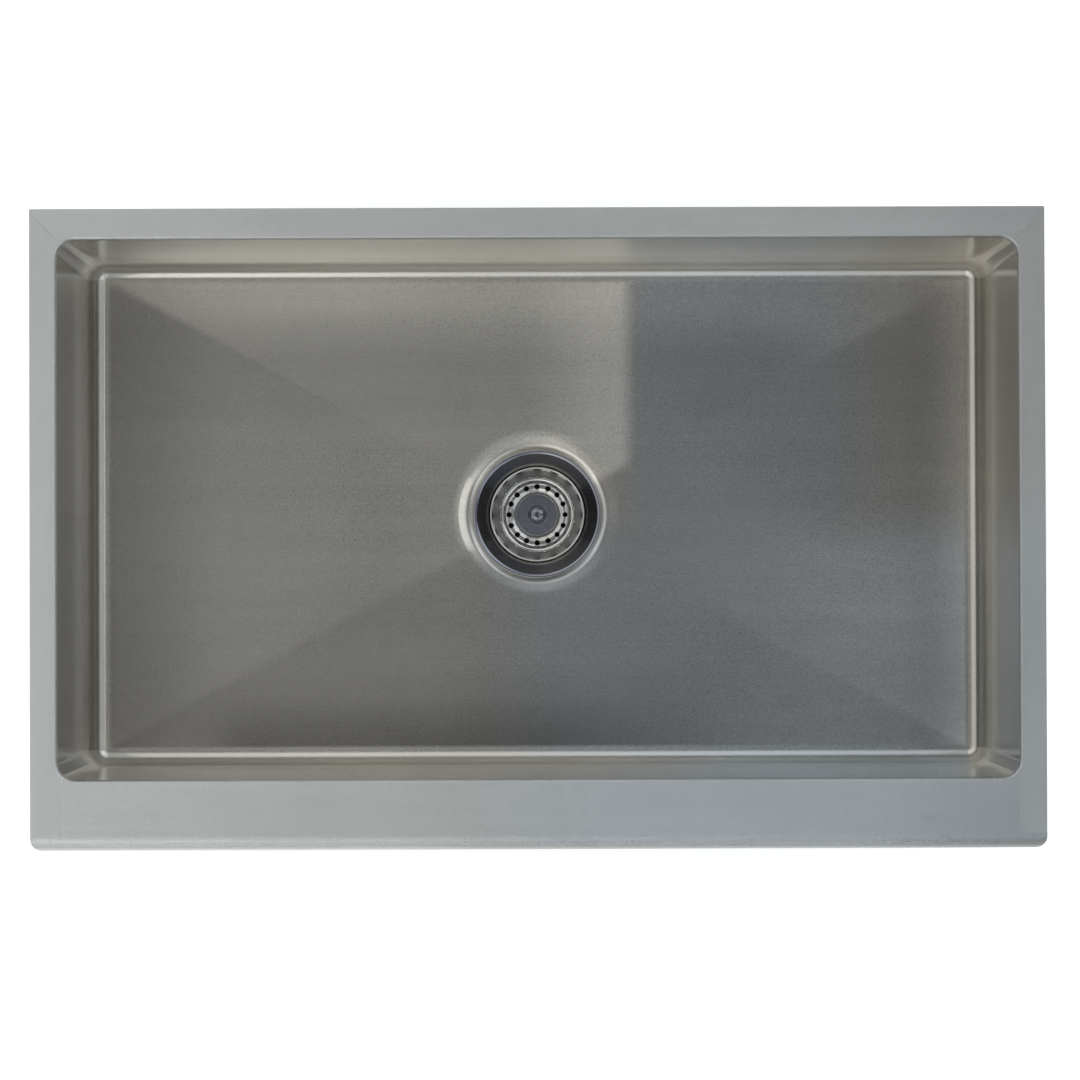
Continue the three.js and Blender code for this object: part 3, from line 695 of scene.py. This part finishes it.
def wall_steps():
    """The opening's edge from the deck down round the lip, the wall and the cove to the floor."""
    steps = []
    for step in range(BEND_STEPS + 1):
        angle = step / BEND_STEPS * math.pi / 2
        steps.append((LIP_BEND * (math.sin(angle) - 1), LIP_BEND * (math.cos(angle) - 1)))
    for step in range(COVE_STEPS + 1):
        angle = step / COVE_STEPS * math.pi / 2
        steps.append((COVE * (1 - math.cos(angle)), COVE * (1 - math.sin(angle)) - BOWL_DEPTH))
    return steps


def fall_to_middle():
    """Fills the floor and presses its four facets down to the middle, with a narrow band on each crease."""
    bpy.ops.mesh.edge_face_add()
    bpy.ops.mesh.poke()
    choose("VERT", lambda vertex: vertex.co.xy.length < HAIR and vertex.co.z < HAIR - BOWL_DEPTH)
    bpy.ops.transform.translate(value=(0, 0, -FLOOR_FALL))
    for slant in (-1, 1):
        square_to_crease = (-math.sin(crease_angle) * slant, math.cos(crease_angle), 0)
        for side in (-CREASE_BAND, CREASE_BAND):
            choose("FACE", lambda face: middle(face).z < -BOWL_DEPTH - HAIR)
            bpy.ops.mesh.bisect(plane_co=Vector(square_to_crease) * side, plane_no=square_to_crease)


def press_drain_seat():
    """Cuts a round hole in the floor and draws its edge down into the recess and the swaged seat."""

    def in_hole(vertex):
        return vertex.co.xy.length < RECESS_RADIUS + HAIR

    reach = 2 * COVE
    bpy.ops.mesh.select_all(action="DESELECT")
    bpy.ops.mesh.primitive_cylinder_add(
        vertices=ROUND_STEPS, radius=RECESS_RADIUS, depth=2 * reach, end_fill_type="NOTHING",
        location=(0, 0, -BOWL_DEPTH),
    )
    bpy.ops.mesh.intersect(mode="SELECT_UNSELECT", separate_mode="NONE", solver="EXACT")
    choose("VERT", lambda vertex: in_hole(vertex) and abs(vertex.co.z + BOWL_DEPTH) > 0.95 * reach)
    bpy.ops.mesh.delete(type="VERT")
    choose("FACE", lambda face: all(in_hole(vertex) for vertex in face.verts))
    bpy.ops.mesh.delete(type="FACE")
    choose("VERT", in_hole)
    radius, left = RECESS_RADIUS, 1
    for next_radius, next_left in RECESS_SECTION:
        bpy.ops.mesh.extrude_region_move()
        squeeze = (next_radius / radius, next_radius / radius, next_left / left)
        bpy.ops.transform.resize(value=squeeze, center_override=(0, 0, seat))
        radius, left = next_radius, next_left
    bend = 1.5 * MM
    draw_out(SEAT_OUTER, seat, [
        (SEAT_INNER + bend / 2, seat),
        (SEAT_INNER - bend / 2, seat - bend * math.tan(swage_angle) / 3),
        (DRAIN_HOLE, seat - SWAGE_DEPTH),
    ])


def bowl_sheet():
    """The deck, walls and floor: one sheet from the deck's edge to the drain hole."""
    empty_hands()
    bpy.ops.mesh.primitive_plane_add(size=1, location=(0, 0, 0))
    piece = named("sink_bowl")
    edit(piece)
    bpy.ops.mesh.select_all(action="SELECT")
    bpy.ops.mesh.delete(type="VERT")
    add_loop(-half_width, half_width, seam, back_edge, DECK_CORNER)
    x, y = open_half_width + LIP_BEND, open_half_depth + LIP_BEND
    add_loop(-x, x, -y, y, BOWL_CORNER + LIP_BEND)
    bpy.ops.mesh.select_all(action="SELECT")
    bpy.ops.mesh.bridge_edge_loops()
    draw_wall(wall_steps())
    fall_to_middle()
    press_drain_seat()
    faces_outwards()
    deck = [face for face in bmesh.from_edit_mesh(piece.data).faces if middle(face).z > -HAIR]
    if deck[0].normal.z < 0:
        bpy.ops.mesh.flip_normals()
    piece.data.materials.append(FINISHES["sink_steel"])
    piece.data.materials.append(UNDERCOAT)
    apply_modifier(piece, "SOLIDIFY", thickness=SHEET, offset=-1, use_even_offset=True, material_offset=1)
    edit(piece)
    inner_width, inner_back = half_width - 2 * DECK_CORNER, back_edge - 2 * DECK_CORNER
    deburr(DEBURRED, lambda edge: any(
        vertex.co.z < -HAIR or vertex.co.y < seam + HAIR
        or (abs(vertex.co.x) < inner_width and vertex.co.y < inner_back) for vertex in edge.verts))
    stand_in(piece, "bowl", "sink_steel")


bowl_sheet()

# ---------- Apron ----------


def drop_faces(unwanted):
    choose("FACE", unwanted)
    bpy.ops.mesh.delete(type="FACE")


def split(point, normal):
    bpy.ops.mesh.select_all(action="SELECT")
    bpy.ops.mesh.bisect(plane_co=point, plane_no=normal)


def apron_sheet():
    """The front panel with its top bend, side returns, bottom lip and back flanges."""
    low, high = apron_low, Vector((apron_high.x, apron_high.y, 0))

    def at_face(edge):
        return all(abs(vertex.co.y - apron_face) < HAIR for vertex in edge.verts)

    piece = block("sink_apron", low, high)
    edit(piece)
    choose("EDGE", lambda edge: at_face(edge) and abs(edge.verts[0].co.z - edge.verts[1].co.z) > HAIR)
    bpy.ops.mesh.bevel(offset=APRON_CORNER, segments=8, affect="EDGES")
    across = block("across", low, high)
    edit(across)
    choose("EDGE", lambda edge: at_face(edge) and all(abs(vertex.co.z) < HAIR for vertex in edge.verts))
    bpy.ops.mesh.bevel(offset=APRON_BEND, segments=10, affect="EDGES")
    combine(piece, across, "INTERSECT")
    edit(piece)
    flange = open_half_width + SHEET + GAP
    flange_top = -LIP_BEND - GAP
    lip_back = apron_face + APRON_LIP
    split((0, seam, 0), (0, 1, 0))
    split((0, lip_back, 0), (0, 1, 0))
    split((0, 0, -SHEET), (0, 0, 1))
    split((0, 0, flange_top), (0, 0, 1))
    split((flange, 0, 0), (1, 0, 0))
    split((-flange, 0, 0), (1, 0, 0))

    def open_back(face):
        return face.normal.y > 0.9 and (abs(middle(face).x) < flange or middle(face).z > flange_top)

    drop_faces(lambda face: middle(face).y > seam and middle(face).z > -SHEET)
    drop_faces(open_back)
    drop_faces(lambda face: face.normal.z < -0.9 and middle(face).y > lip_back)
    apply_modifier(piece, "SOLIDIFY", thickness=SHEET, offset=-1, use_even_offset=True)
    edit(piece)
    deburr(DEBURRED, lambda edge: any(vertex.co.z > flange_top - HAIR and vertex.co.y > seam - HAIR
                                      for vertex in edge.verts))
    stand_in(piece, "apron_front", "sink_steel")


apron_sheet()

# ---------- Strainer body ----------


def dish(lift, radius):
    """Height of a face that lies a little above the drain seat's slope, at a radius."""
    return seat + lift / math.cos(swage_angle) - (SEAT_INNER - radius) * math.tan(swage_angle)


def thread(radius, top, bottom, pitch, depth):
    """The zigzag of a screw thread along a section, downwards or upwards."""
    count = round(abs(top - bottom) / pitch)
    step = (bottom - top) / count
    points = []
    for groove in range(count):
        start = top + groove * step
        points.append((radius - depth, start + 0.2 * step))
        points.append((radius, start + 0.45 * step))
        points.append((radius, start + 0.75 * step))
    return points + [(radius - depth, bottom)]


body_lift = 1.4 * MM
lip_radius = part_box("strainer_body")[1].x
barrel_outer = BARREL_RADIUS + BARREL_WALL
neck_outer = NECK_RADIUS + NECK_WALL
barrel_bottom = seat - 36 * MM
cone_bottom = barrel_bottom - CONE_DROP
neck_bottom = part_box("strainer_body")[0].z
nut_low, nut_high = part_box("lock_nut")


def strainer_body():
    """Lip, dish, barrel, cone and neck, spun from one sheet, with a thread on the barrel and on the neck."""
    top = body_top
    bevel = 0.7 * MM
    bend = SEAT_INNER - (body_lift + BODY_SHEET) * math.tan(swage_angle / 2)
    edge = 1.2 * MM
    piece = turn("strainer_cup", [
        (lip_radius, top - BODY_SHEET),
        *arc(lip_radius - bevel, top - bevel, bevel, 0, 90, 4),
        (bend + edge, top),
        (bend, top - 0.25 * edge * math.tan(swage_angle)),
        (bend - edge, top - edge * math.tan(swage_angle)),
        (BARREL_RADIUS + edge, dish(body_lift + BODY_SHEET, BARREL_RADIUS + edge)),
        (BARREL_RADIUS + edge / 4, dish(body_lift + BODY_SHEET, BARREL_RADIUS) + 0.1 * edge),
        (BARREL_RADIUS, dish(body_lift + BODY_SHEET, BARREL_RADIUS) - edge),
        (BARREL_RADIUS, barrel_bottom + 3 * MM),
        *arc(BARREL_RADIUS - 4 * MM, barrel_bottom + 2 * MM, 4 * MM, 0, -65, 6),
        (NECK_RADIUS + 1 * MM, cone_bottom + 0.6 * MM),
        (NECK_RADIUS, cone_bottom - 0.6 * MM),
        (NECK_RADIUS, neck_bottom),
        (neck_outer - 0.6 * MM, neck_bottom),
        *thread(neck_outer, neck_bottom + 0.4 * MM, cone_bottom - 3 * MM, NECK_PITCH, 0.5 * MM),
        (neck_outer, cone_bottom - 0.5 * MM),
        (neck_outer + 1 * MM, cone_bottom + 0.4 * MM),
        *arc(BARREL_RADIUS - 4 * MM, barrel_bottom + 2 * MM, 4 * MM + BARREL_WALL, -65, 0, 6),
        *thread(barrel_outer, barrel_bottom + 4 * MM, nut_high.z + 1 * MM, BARREL_PITCH, 0.45 * MM),
        (barrel_outer, dish(body_lift, barrel_outer)),
        (SEAT_INNER - 0.4 * MM, top - BODY_SHEET),
    ])
    stand_in(piece, "strainer_body", "polished_steel")


strainer_body()

# ---------- Basket ----------


def drill(piece, radius, length, place, turned, steps):
    """Cuts a round hole, whose middle is at the place, through the piece."""
    empty_hands()
    bpy.ops.mesh.primitive_cylinder_add(
        vertices=steps, radius=radius, depth=length, location=place, rotation=turned,
    )
    combine(piece, named("drill"), "DIFFERENCE")


def basket():
    """A perforated cup with a rolled rim and a raised boss."""
    low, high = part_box("basket_cup")
    foot = high.x - 8 * MM
    roll_radius, roll_height = high.x - BASKET_ROLL, high.z - BASKET_ROLL
    floor = low.z
    boss_top = floor + 3 * MM
    blend = 3 * MM
    under_roll = roll_height - 1.4 * BASKET_ROLL
    crown = 1.5 * MM  # rise of the perforated ring between its edges
    half_way = (BOSS_RADIUS + foot - blend) / 2
    piece = turn("basket", [
        *arc(roll_radius, roll_height, BASKET_ROLL, -30, 210, 10),
        (roll_radius - BASKET_SHEET, under_roll - 1 * MM),
        *arc(foot - BASKET_SHEET - blend, floor + BASKET_SHEET + blend, blend, -15, -90, 5),
        (half_way + 3 * MM, floor + BASKET_SHEET + 0.8 * crown),
        (half_way, floor + BASKET_SHEET + crown),
        (half_way - 2 * MM, floor + BASKET_SHEET + 0.8 * crown),
        (BOSS_RADIUS + 1.6 * MM, floor + BASKET_SHEET),
        (BOSS_RADIUS + 0.6 * MM, floor + BASKET_SHEET + 0.5 * MM),
        (BOSS_RADIUS, boss_top - 0.5 * MM),
        (BOSS_RADIUS - 0.8 * MM, boss_top),
        (STEM_BORE, boss_top),
        (STEM_BORE, boss_top - BASKET_SHEET),
        (BOSS_RADIUS - 1 * MM, boss_top - BASKET_SHEET),
        (BOSS_RADIUS - 0.2 * MM, floor + 0.3 * MM),
        (BOSS_RADIUS + 0.8 * MM, floor),
        (half_way, floor + crown),
        *arc(foot - blend, floor + blend, blend, -90, -15, 5),
        (roll_radius, under_roll - 1 * MM),
    ])
    for hole in range(HOLE_COUNT):
        angle = 2 * math.pi * hole / HOLE_COUNT
        place = (HOLE_CIRCLE * math.cos(angle), HOLE_CIRCLE * math.sin(angle), floor - 2 * MM)
        drill(piece, HOLE_RADIUS, 12 * MM, place, (0, 0, 0), 24)
        angle += math.pi / HOLE_COUNT
        place = (foot * math.cos(angle), foot * math.sin(angle), floor + 5 * MM)
        drill(piece, SIDE_HOLE_RADIUS, 14 * MM, place, (0, math.pi / 2, angle), 20)
    stand_in(piece, "basket_cup", "polished_steel")


basket()


def knob():
    """A domed grip with a waist, drilled for the stem."""
    low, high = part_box("knob")
    height = high.z - low.z
    foot = 6 * MM
    bore_top = low.z + 8.3 * MM
    turns = [math.radians(degrees) for degrees in (-12, -4, 4, 12, 22, 32, 42, 52, 62, 72, 80, 86)]
    piece = turn("lift_knob", [
        (STEM_BORE, bore_top),
        (STEM_BORE, low.z),
        (foot - 0.3 * MM, low.z),
        (foot, low.z + 0.3 * MM),
        (foot, low.z + 0.22 * height),
        (foot + 0.6 * MM, low.z + 0.3 * height),
        *[(high.x * math.cos(angle), low.z + height / 2 * (1 + math.sin(angle))) for angle in turns],
        (0, high.z),
    ])
    stand_in(piece, "knob", "polished_steel", 40)


knob()

# ---------- Rings, washers and gaskets ----------


def ring(name, node, slot, inner, rounding=0.2 * MM):
    """A flat ring that fills a CAD ring's box, with its edges rounded."""
    low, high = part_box(node)
    outer = high.x
    piece = turn(name, [
        *arc(outer - rounding, low.z + rounding, rounding, -90, 0, 3),
        *arc(outer - rounding, high.z - rounding, rounding, 0, 90, 3),
        *arc(inner + rounding, high.z - rounding, rounding, 90, 180, 3),
        *arc(inner + rounding, low.z + rounding, rounding, 180, 270, 3),
    ])
    stand_in(piece, node, slot)


bore = barrel_outer + GAP
ring("slip_ring", "friction_ring", "fibre", bore)
ring("outlet_washer", "tailpiece_washer", "black_rubber", OUTLET_BORE, 0.5 * MM)
ring("foot_washer", "knob_washer", "plain_steel", STEM_BORE, 0.15 * MM)
ring("stopper_plate", "stopper_washer", "plain_steel", STEM_BORE)


def lip_seal():
    """A soft bead between the strainer's lip and the seat."""
    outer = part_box("flange_seal")[1].x
    inner = DRAIN_HOLE + 1.2 * MM
    low, high = 0.3 * MM, 1.1 * MM
    piece = turn("lip_seal", [
        (outer, seat + low),
        (outer + 0.25 * MM, seat + (low + high) / 2),
        (outer, seat + high),
        (SEAT_INNER, seat + high),
        (inner, dish(high, inner)),
        (inner, dish(low, inner)),
        (SEAT_INNER, seat + low),
    ])
    stand_in(piece, "flange_seal", "black_rubber")


lip_seal()


def gasket():
    """The tapered rubber gasket under the drain seat."""
    low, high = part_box("rubber_gasket")
    outer = high.x
    hole_edge = DRAIN_HOLE + SHEET * math.sin(swage_angle)
    lip_height = low.z + 2.9 * MM
    round_off = 0.6 * MM
    piece = turn("seat_gasket", [
        *arc(outer - round_off, low.z + round_off, round_off, -90, 0, 4),
        (outer, high.z - round_off),
        (outer - round_off, high.z - round_off / 3),
        (hole_edge, lip_height),
        (bore, lip_height),
        (bore, low.z),
    ])
    stand_in(piece, "rubber_gasket", "black_rubber")


gasket()

# ---------- Nuts ----------


def lock_nut():
    """The ring nut on the barrel, with lugs to turn it by."""
    low, high = nut_low, nut_high
    lugs = 8
    lug_height = 9 * MM
    lug_length = 8 * MM
    lug_share = 0.26  # of the way round that the lugs take
    outer = high.x - lug_length
    bevel = 1.5 * MM
    piece = turn("clamp_nut", [
        (outer - bevel, low.z),
        (outer, low.z + bevel),
        (outer, high.z - lug_height),
        (outer, high.z),
        *thread(bore, high.z, low.z, BARREL_PITCH, -0.3 * MM),
    ], 96)
    edit(piece)

    def on_lug(face):
        place = middle(face)
        turned = math.atan2(place.y, place.x) * lugs / (2 * math.pi)
        within = abs(turned - round(turned)) < lug_share / 2
        return within and place.xy.length > outer - 10 * HAIR and place.z > high.z - lug_height

    choose("FACE", on_lug)
    outwards = {"value": lug_length, "use_even_offset": False}
    bpy.ops.mesh.extrude_region_shrink_fatten(TRANSFORM_OT_shrink_fatten=outwards)
    deburr(0.5 * MM, lambda edge: all(vertex.co.xy.length < outer - HAIR for vertex in edge.verts))
    stand_in(piece, "lock_nut", "nut_brass")


lock_nut()


def hex_nut(name, node, flats, bevel, inside, steps=ROUND_STEPS):
    """A turned nut that fills its node's box, cut to six flats. Its bore is a section from the top down."""
    low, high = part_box(node)
    corner = flats / 2 / math.cos(math.pi / 6)
    piece = turn(name, [
        (corner - bevel, low.z),
        (corner, low.z + bevel),
        (corner, high.z - bevel),
        (corner - bevel, high.z),
        *inside,
    ], steps)
    empty_hands()
    bpy.ops.mesh.primitive_cylinder_add(
        vertices=6, radius=corner, depth=high.z - low.z + 2 * bevel, location=(0, 0, (low.z + high.z) / 2),
        rotation=(0, 0, math.pi / 6),
    )
    combine(piece, named("flats"), "INTERSECT")
    return piece


def coupling_nut():
    """The hexagon nut that holds a tailpiece to the neck."""
    low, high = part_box("coupling_nut")
    flats = 56 * MM
    lip = 2.2 * MM
    thread_bore = neck_outer + GAP
    piece = hex_nut("coupling", "coupling_nut", flats, 2 * MM, [
        *thread(thread_bore, high.z, low.z + lip + 3.6 * MM, NECK_PITCH, -0.4 * MM),
        (thread_bore, low.z + lip),
        (OUTLET_BORE, low.z + lip),
        (OUTLET_BORE, low.z),
    ])
    edit(piece)
    deburr(0.3 * MM, lambda edge: any(vertex.co.xy.length < flats / 2 - 5 * HAIR for vertex in edge.verts))
    stand_in(piece, "coupling_nut", "nut_brass")


coupling_nut()


def stem_nut():
    low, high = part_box("stem_nut")
    bore_line = [(STEM_BORE, high.z), (STEM_BORE, low.z)]
    piece = hex_nut("stem_hex", "stem_nut", 13 * MM, 0.6 * MM, bore_line, 48)
    stand_in(piece, "stem_nut", "plain_steel")


stem_nut()

# ---------- Outlet, stem and stopper ----------


def crossbar():
    """Four arms and a hub across the outlet, which guide the stem."""
    low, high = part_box("outlet_crossbar")
    half_height = 2.5 * MM
    half_arm = 2 * MM
    hub = 7 * MM
    bevel = 0.4 * MM
    piece = turn("stem_guide", [
        (hub - bevel, low.z),
        (hub, low.z + bevel),
        (hub, high.z - bevel),
        (hub - bevel, high.z),
        (STEM_BORE, high.z),
        (STEM_BORE, low.z),
    ], 48)
    inner, outer = (hub + STEM_BORE) / 2, high.x
    centre = (low.z + high.z) / 2
    bottom, top = centre - half_height, centre + half_height
    for start, end in ((-outer, -inner), (inner, outer)):
        along_x = (start, -half_arm, bottom), (end, half_arm, top)
        along_y = (-half_arm, start, bottom), (half_arm, end, top)
        for corners in (along_x, along_y):
            arm = block("arm", *corners)
            edit(arm)
            deburr(0.5 * MM)
            combine(piece, arm, "UNION")
    stand_in(piece, "outlet_crossbar", "plain_steel")


crossbar()


def stem():
    """The rod with its collar and a split tip that snaps into the guide."""
    low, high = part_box("stem")
    rod = 4 * MM
    collar = 6.5 * MM
    collar_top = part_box("basket_cup")[0].z + 1.9 * MM
    collar_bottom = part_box("stopper_washer")[1].z + GAP
    ease = 0.3 * MM
    piece = turn("lift_stem", [
        (rod - 1.2 * MM, low.z),
        (rod, low.z + 1.2 * MM),
        (rod, low.z + 5 * MM),
        (rod - 0.4 * MM, low.z + 6 * MM),
        (rod, low.z + 7 * MM),
        (rod, collar_bottom),
        (collar - ease, collar_bottom),
        (collar, collar_bottom + ease),
        (collar, collar_top - ease),
        (collar - ease, collar_top),
        (rod, collar_top),
        (rod, high.z - ease),
        (rod - ease, high.z),
        (0, high.z),
    ], 48)
    slot = block("slot", (-0.6 * MM, -2 * rod, low.z - rod), (0.6 * MM, 2 * rod, low.z + 6 * MM))
    combine(piece, slot, "DIFFERENCE")
    stand_in(piece, "stem", "plain_steel")


stem()


def stopper():
    """The rubber disc that closes the outlet when the basket is let down."""
    low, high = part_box("stopper")
    outer = high.x
    shoulder = 2.5 * MM
    piece = turn("stopper_disc", [
        (outer - shoulder, low.z),
        (outer - 0.4 * MM, low.z + shoulder * 0.6),
        (outer, low.z + shoulder * 0.85),
        (outer - 0.2 * MM, low.z + shoulder * 1.1),
        (outer - 6 * MM, low.z + shoulder * 1.6),
        (12.5 * MM, high.z),
        (STEM_BORE, high.z),
        (STEM_BORE, low.z),
        (12 * MM, low.z),
        (12.6 * MM, low.z + 0.4 * MM),
        (14.4 * MM, low.z + 0.4 * MM),
        (15 * MM, low.z),
    ])
    stand_in(piece, "stopper", "black_rubber")


stopper()

# ---------- Sound pads ----------


def slab(name, low, high, turn_to):
    """A rubber sheet with round corners that fills a box. It is drawn flat, then turned and set down."""
    empty_hands()
    low, high = Vector(low), Vector(high)
    size = high - low
    thin = min(range(3), key=lambda axis: size[axis])
    width, length = [size[axis] for axis in range(3) if axis != thin]
    bpy.ops.mesh.primitive_plane_add(size=1)
    piece = named(name)
    edit(piece)
    bpy.ops.mesh.select_all(action="SELECT")
    bpy.ops.transform.resize(value=(width, length, 1), center_override=(0, 0, 0))
    bpy.ops.mesh.bevel(offset=12 * MM, segments=8, affect="VERTICES")
    bpy.ops.mesh.extrude_region_move(TRANSFORM_OT_translate={"value": (0, 0, size[thin])})
    faces_outwards()
    deburr(0.6 * MM)
    take(piece)
    piece.rotation_euler = turn_to
    start = (low + high) / 2
    start[thin] = low[thin]
    piece.location = start
    bpy.ops.object.transform_apply(location=True, rotation=True, scale=True)
    return piece


def wall_pads():
    upright_x = (math.pi / 2, 0, math.pi / 2)
    upright_y = (-math.pi / 2, 0, 0)
    turns = {"left": upright_x, "right": upright_x, "back": upright_y, "front": upright_y}
    for side, turn_to in turns.items():
        node = f"pad_wall_{side}"
        piece = slab(f"sound_pad_{side}", *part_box(node), turn_to)
        stand_in(piece, node, "pad_rubber")


wall_pads()


def facet_plate(name, drop):
    """The floor's four facets, moved down by a distance, as a thin solid."""
    empty_hands()
    bpy.ops.mesh.primitive_plane_add(size=1, location=(0, 0, -BOWL_DEPTH - drop))
    piece = named(name)
    edit(piece)
    bpy.ops.mesh.select_all(action="SELECT")
    bpy.ops.transform.resize(value=(2 * floor_half_width, 2 * floor_half_depth, 1), center_override=(0, 0, 0))
    bpy.ops.mesh.poke()
    choose("VERT", lambda vertex: vertex.co.xy.length < HAIR)
    bpy.ops.transform.translate(value=(0, 0, -FLOOR_FALL))
    bpy.ops.mesh.select_all(action="SELECT")
    bpy.ops.mesh.extrude_region_move(TRANSFORM_OT_translate={"value": (0, 0, -3 * MM)})
    faces_outwards()
    empty_hands()
    return piece


def floor_pads():
    """Two pads that follow the fall of the floor, cut from a plate by an upright block of their outline."""
    reach = 40 * MM
    for side in ("left", "right"):
        node = f"pad_floor_{side}"
        low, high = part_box(node)
        start, end = (low.x, low.y, -BOWL_DEPTH - reach), (high.x, high.y, -BOWL_DEPTH + reach)
        piece = slab(f"sound_pad_floor_{side}", start, end, (0, 0, 0))
        combine(piece, facet_plate("plate", SHEET + GAP), "INTERSECT")
        stand_in(piece, node, "pad_rubber")


floor_pads()

# ---------- Studio ----------


def studio_floor():
    """A wide white ground just under the lowest point, which shows as white and keeps the soft shadow."""
    empty_hands()
    place = (0, 0, cad_low.z - MM)
    bpy.ops.mesh.primitive_circle_add(vertices=64, radius=40, fill_type="NGON", location=place)
    ground = named("ground")
    material, wire = new_material("ground")
    rays = [f"Is {kind} Ray" for kind in ("Camera", "Glossy", "Transmission")]
    camera, glossy, through = [wire.node("ShaderNodeLightPath", output=ray) for ray in rays]
    seen = camera.most(glossy).most(through)
    plain = wire.node("ShaderNodeBsdfDiffuse", None, {"Color": grey(0.85)})
    white = wire.node("ShaderNodeEmission", None, {"Color": grey(1), "Strength": 0.35})
    lifted = wire.node("ShaderNodeAddShader", None, {0: plain, 1: white})
    show(wire, wire.node("ShaderNodeMixShader", None, {0: seen, 1: plain, 2: lifted}))
    ground.data.materials.append(material)


def soft_lamp():
    """A very wide lamp overhead, for what is dull: the steel mirrors only the room."""
    lamp = bpy.data.lights.new("soft_lamp", "SUN")
    lamp.energy = 2.0
    lamp.angle = math.radians(90)
    holder = bpy.data.objects.new("soft_lamp", lamp)
    bpy.context.scene.collection.objects.link(holder)
    holder.visible_glossy = False


def ceiling_level(right, back):
    """A dim ceiling with a lit panel beside the bowl's middle and a darker round spot, one metre up."""
    ceiling = 0.1 + right.rise(0.16, -0.16) * 0.06
    panel = right.rise(0.0300, 0.0265) * back.rise(0.030, 0.020) * back.rise(-0.06, -0.04)
    panel = panel * (back.rise(-0.012, 0.02) * 0.65 + 0.35).most(right.rise(-0.002, 0.012))
    spot_right, spot_back = right + 0.004, back - 0.0185
    off_spot = (spot_right * spot_right + spot_back * spot_back).power(0.5)
    return (ceiling + panel * 0.35) * (1 - off_spot.rise(0.03, 0.014) * 0.8)


def front_right(x, y):
    return y.rise(-0.1, -0.3) * x.rise(0, 0.2)


def side_level(x, y):
    """The bright sides of the room, brightest at the front left and dimmer at the front right."""
    front_and_back = abs(y).rise(0.1, 0.35) * 0.3
    front_left = y.rise(-0.1, -0.25) * x.rise(-0.025, -0.06) * x.rise(-0.4, -0.25) * 0.5
    left = x.rise(0.3, -0.3) * 0.3 - x.rise(0.09, 0.14) * 0.1
    right_corners = x.rise(0.2, 0.3) * abs(y).rise(0.1, 0.2) * 0.6
    return 0.45 + front_and_back + front_left - front_right(x, y) * 0.25 + left + right_corners


def sky():
    """A soft studio: a dim ceiling with a lit panel, a window, bright sides and a white horizon."""
    world = bpy.data.worlds.new("studio")
    world.use_nodes = True
    world.node_tree.nodes.clear()
    bpy.context.scene.world = world
    wire = Wire(world.node_tree)
    x, y, up = wire.node("ShaderNodeTexCoord", output="Generated").parts()
    above = up.most(0.05)
    right, back = x / above, y / above
    overhead = up.rise(0.88, 0.965)
    sides = side_level(x, y) * (1 - overhead) * up.rise(0.50, 0.64)
    window = x.rise(0.18, 0.195) * x.rise(0.32, 0.25) * abs(y).rise(0.3, 0.15)
    horizon = up.rise(0.2, 0.12) * (0.57 - front_right(x, y) * 0.4)
    level = 0.05 + ceiling_level(right, back) * overhead + sides + window + horizon
    warm = right.rise(0.16, -0.16).most(window)
    tint = warm.pick_colour((0.95, 1.0, 1.05, 1), (1.0, 1.01, 1.0, 1))
    light = wire.node("ShaderNodeBackground", None, {"Color": tint, "Strength": level})
    wire.node("ShaderNodeOutputWorld", None, {"Surface": light})


studio_floor()
soft_lamp()
sky()

scene = bpy.context.scene
scene.view_settings.view_transform = "Standard"
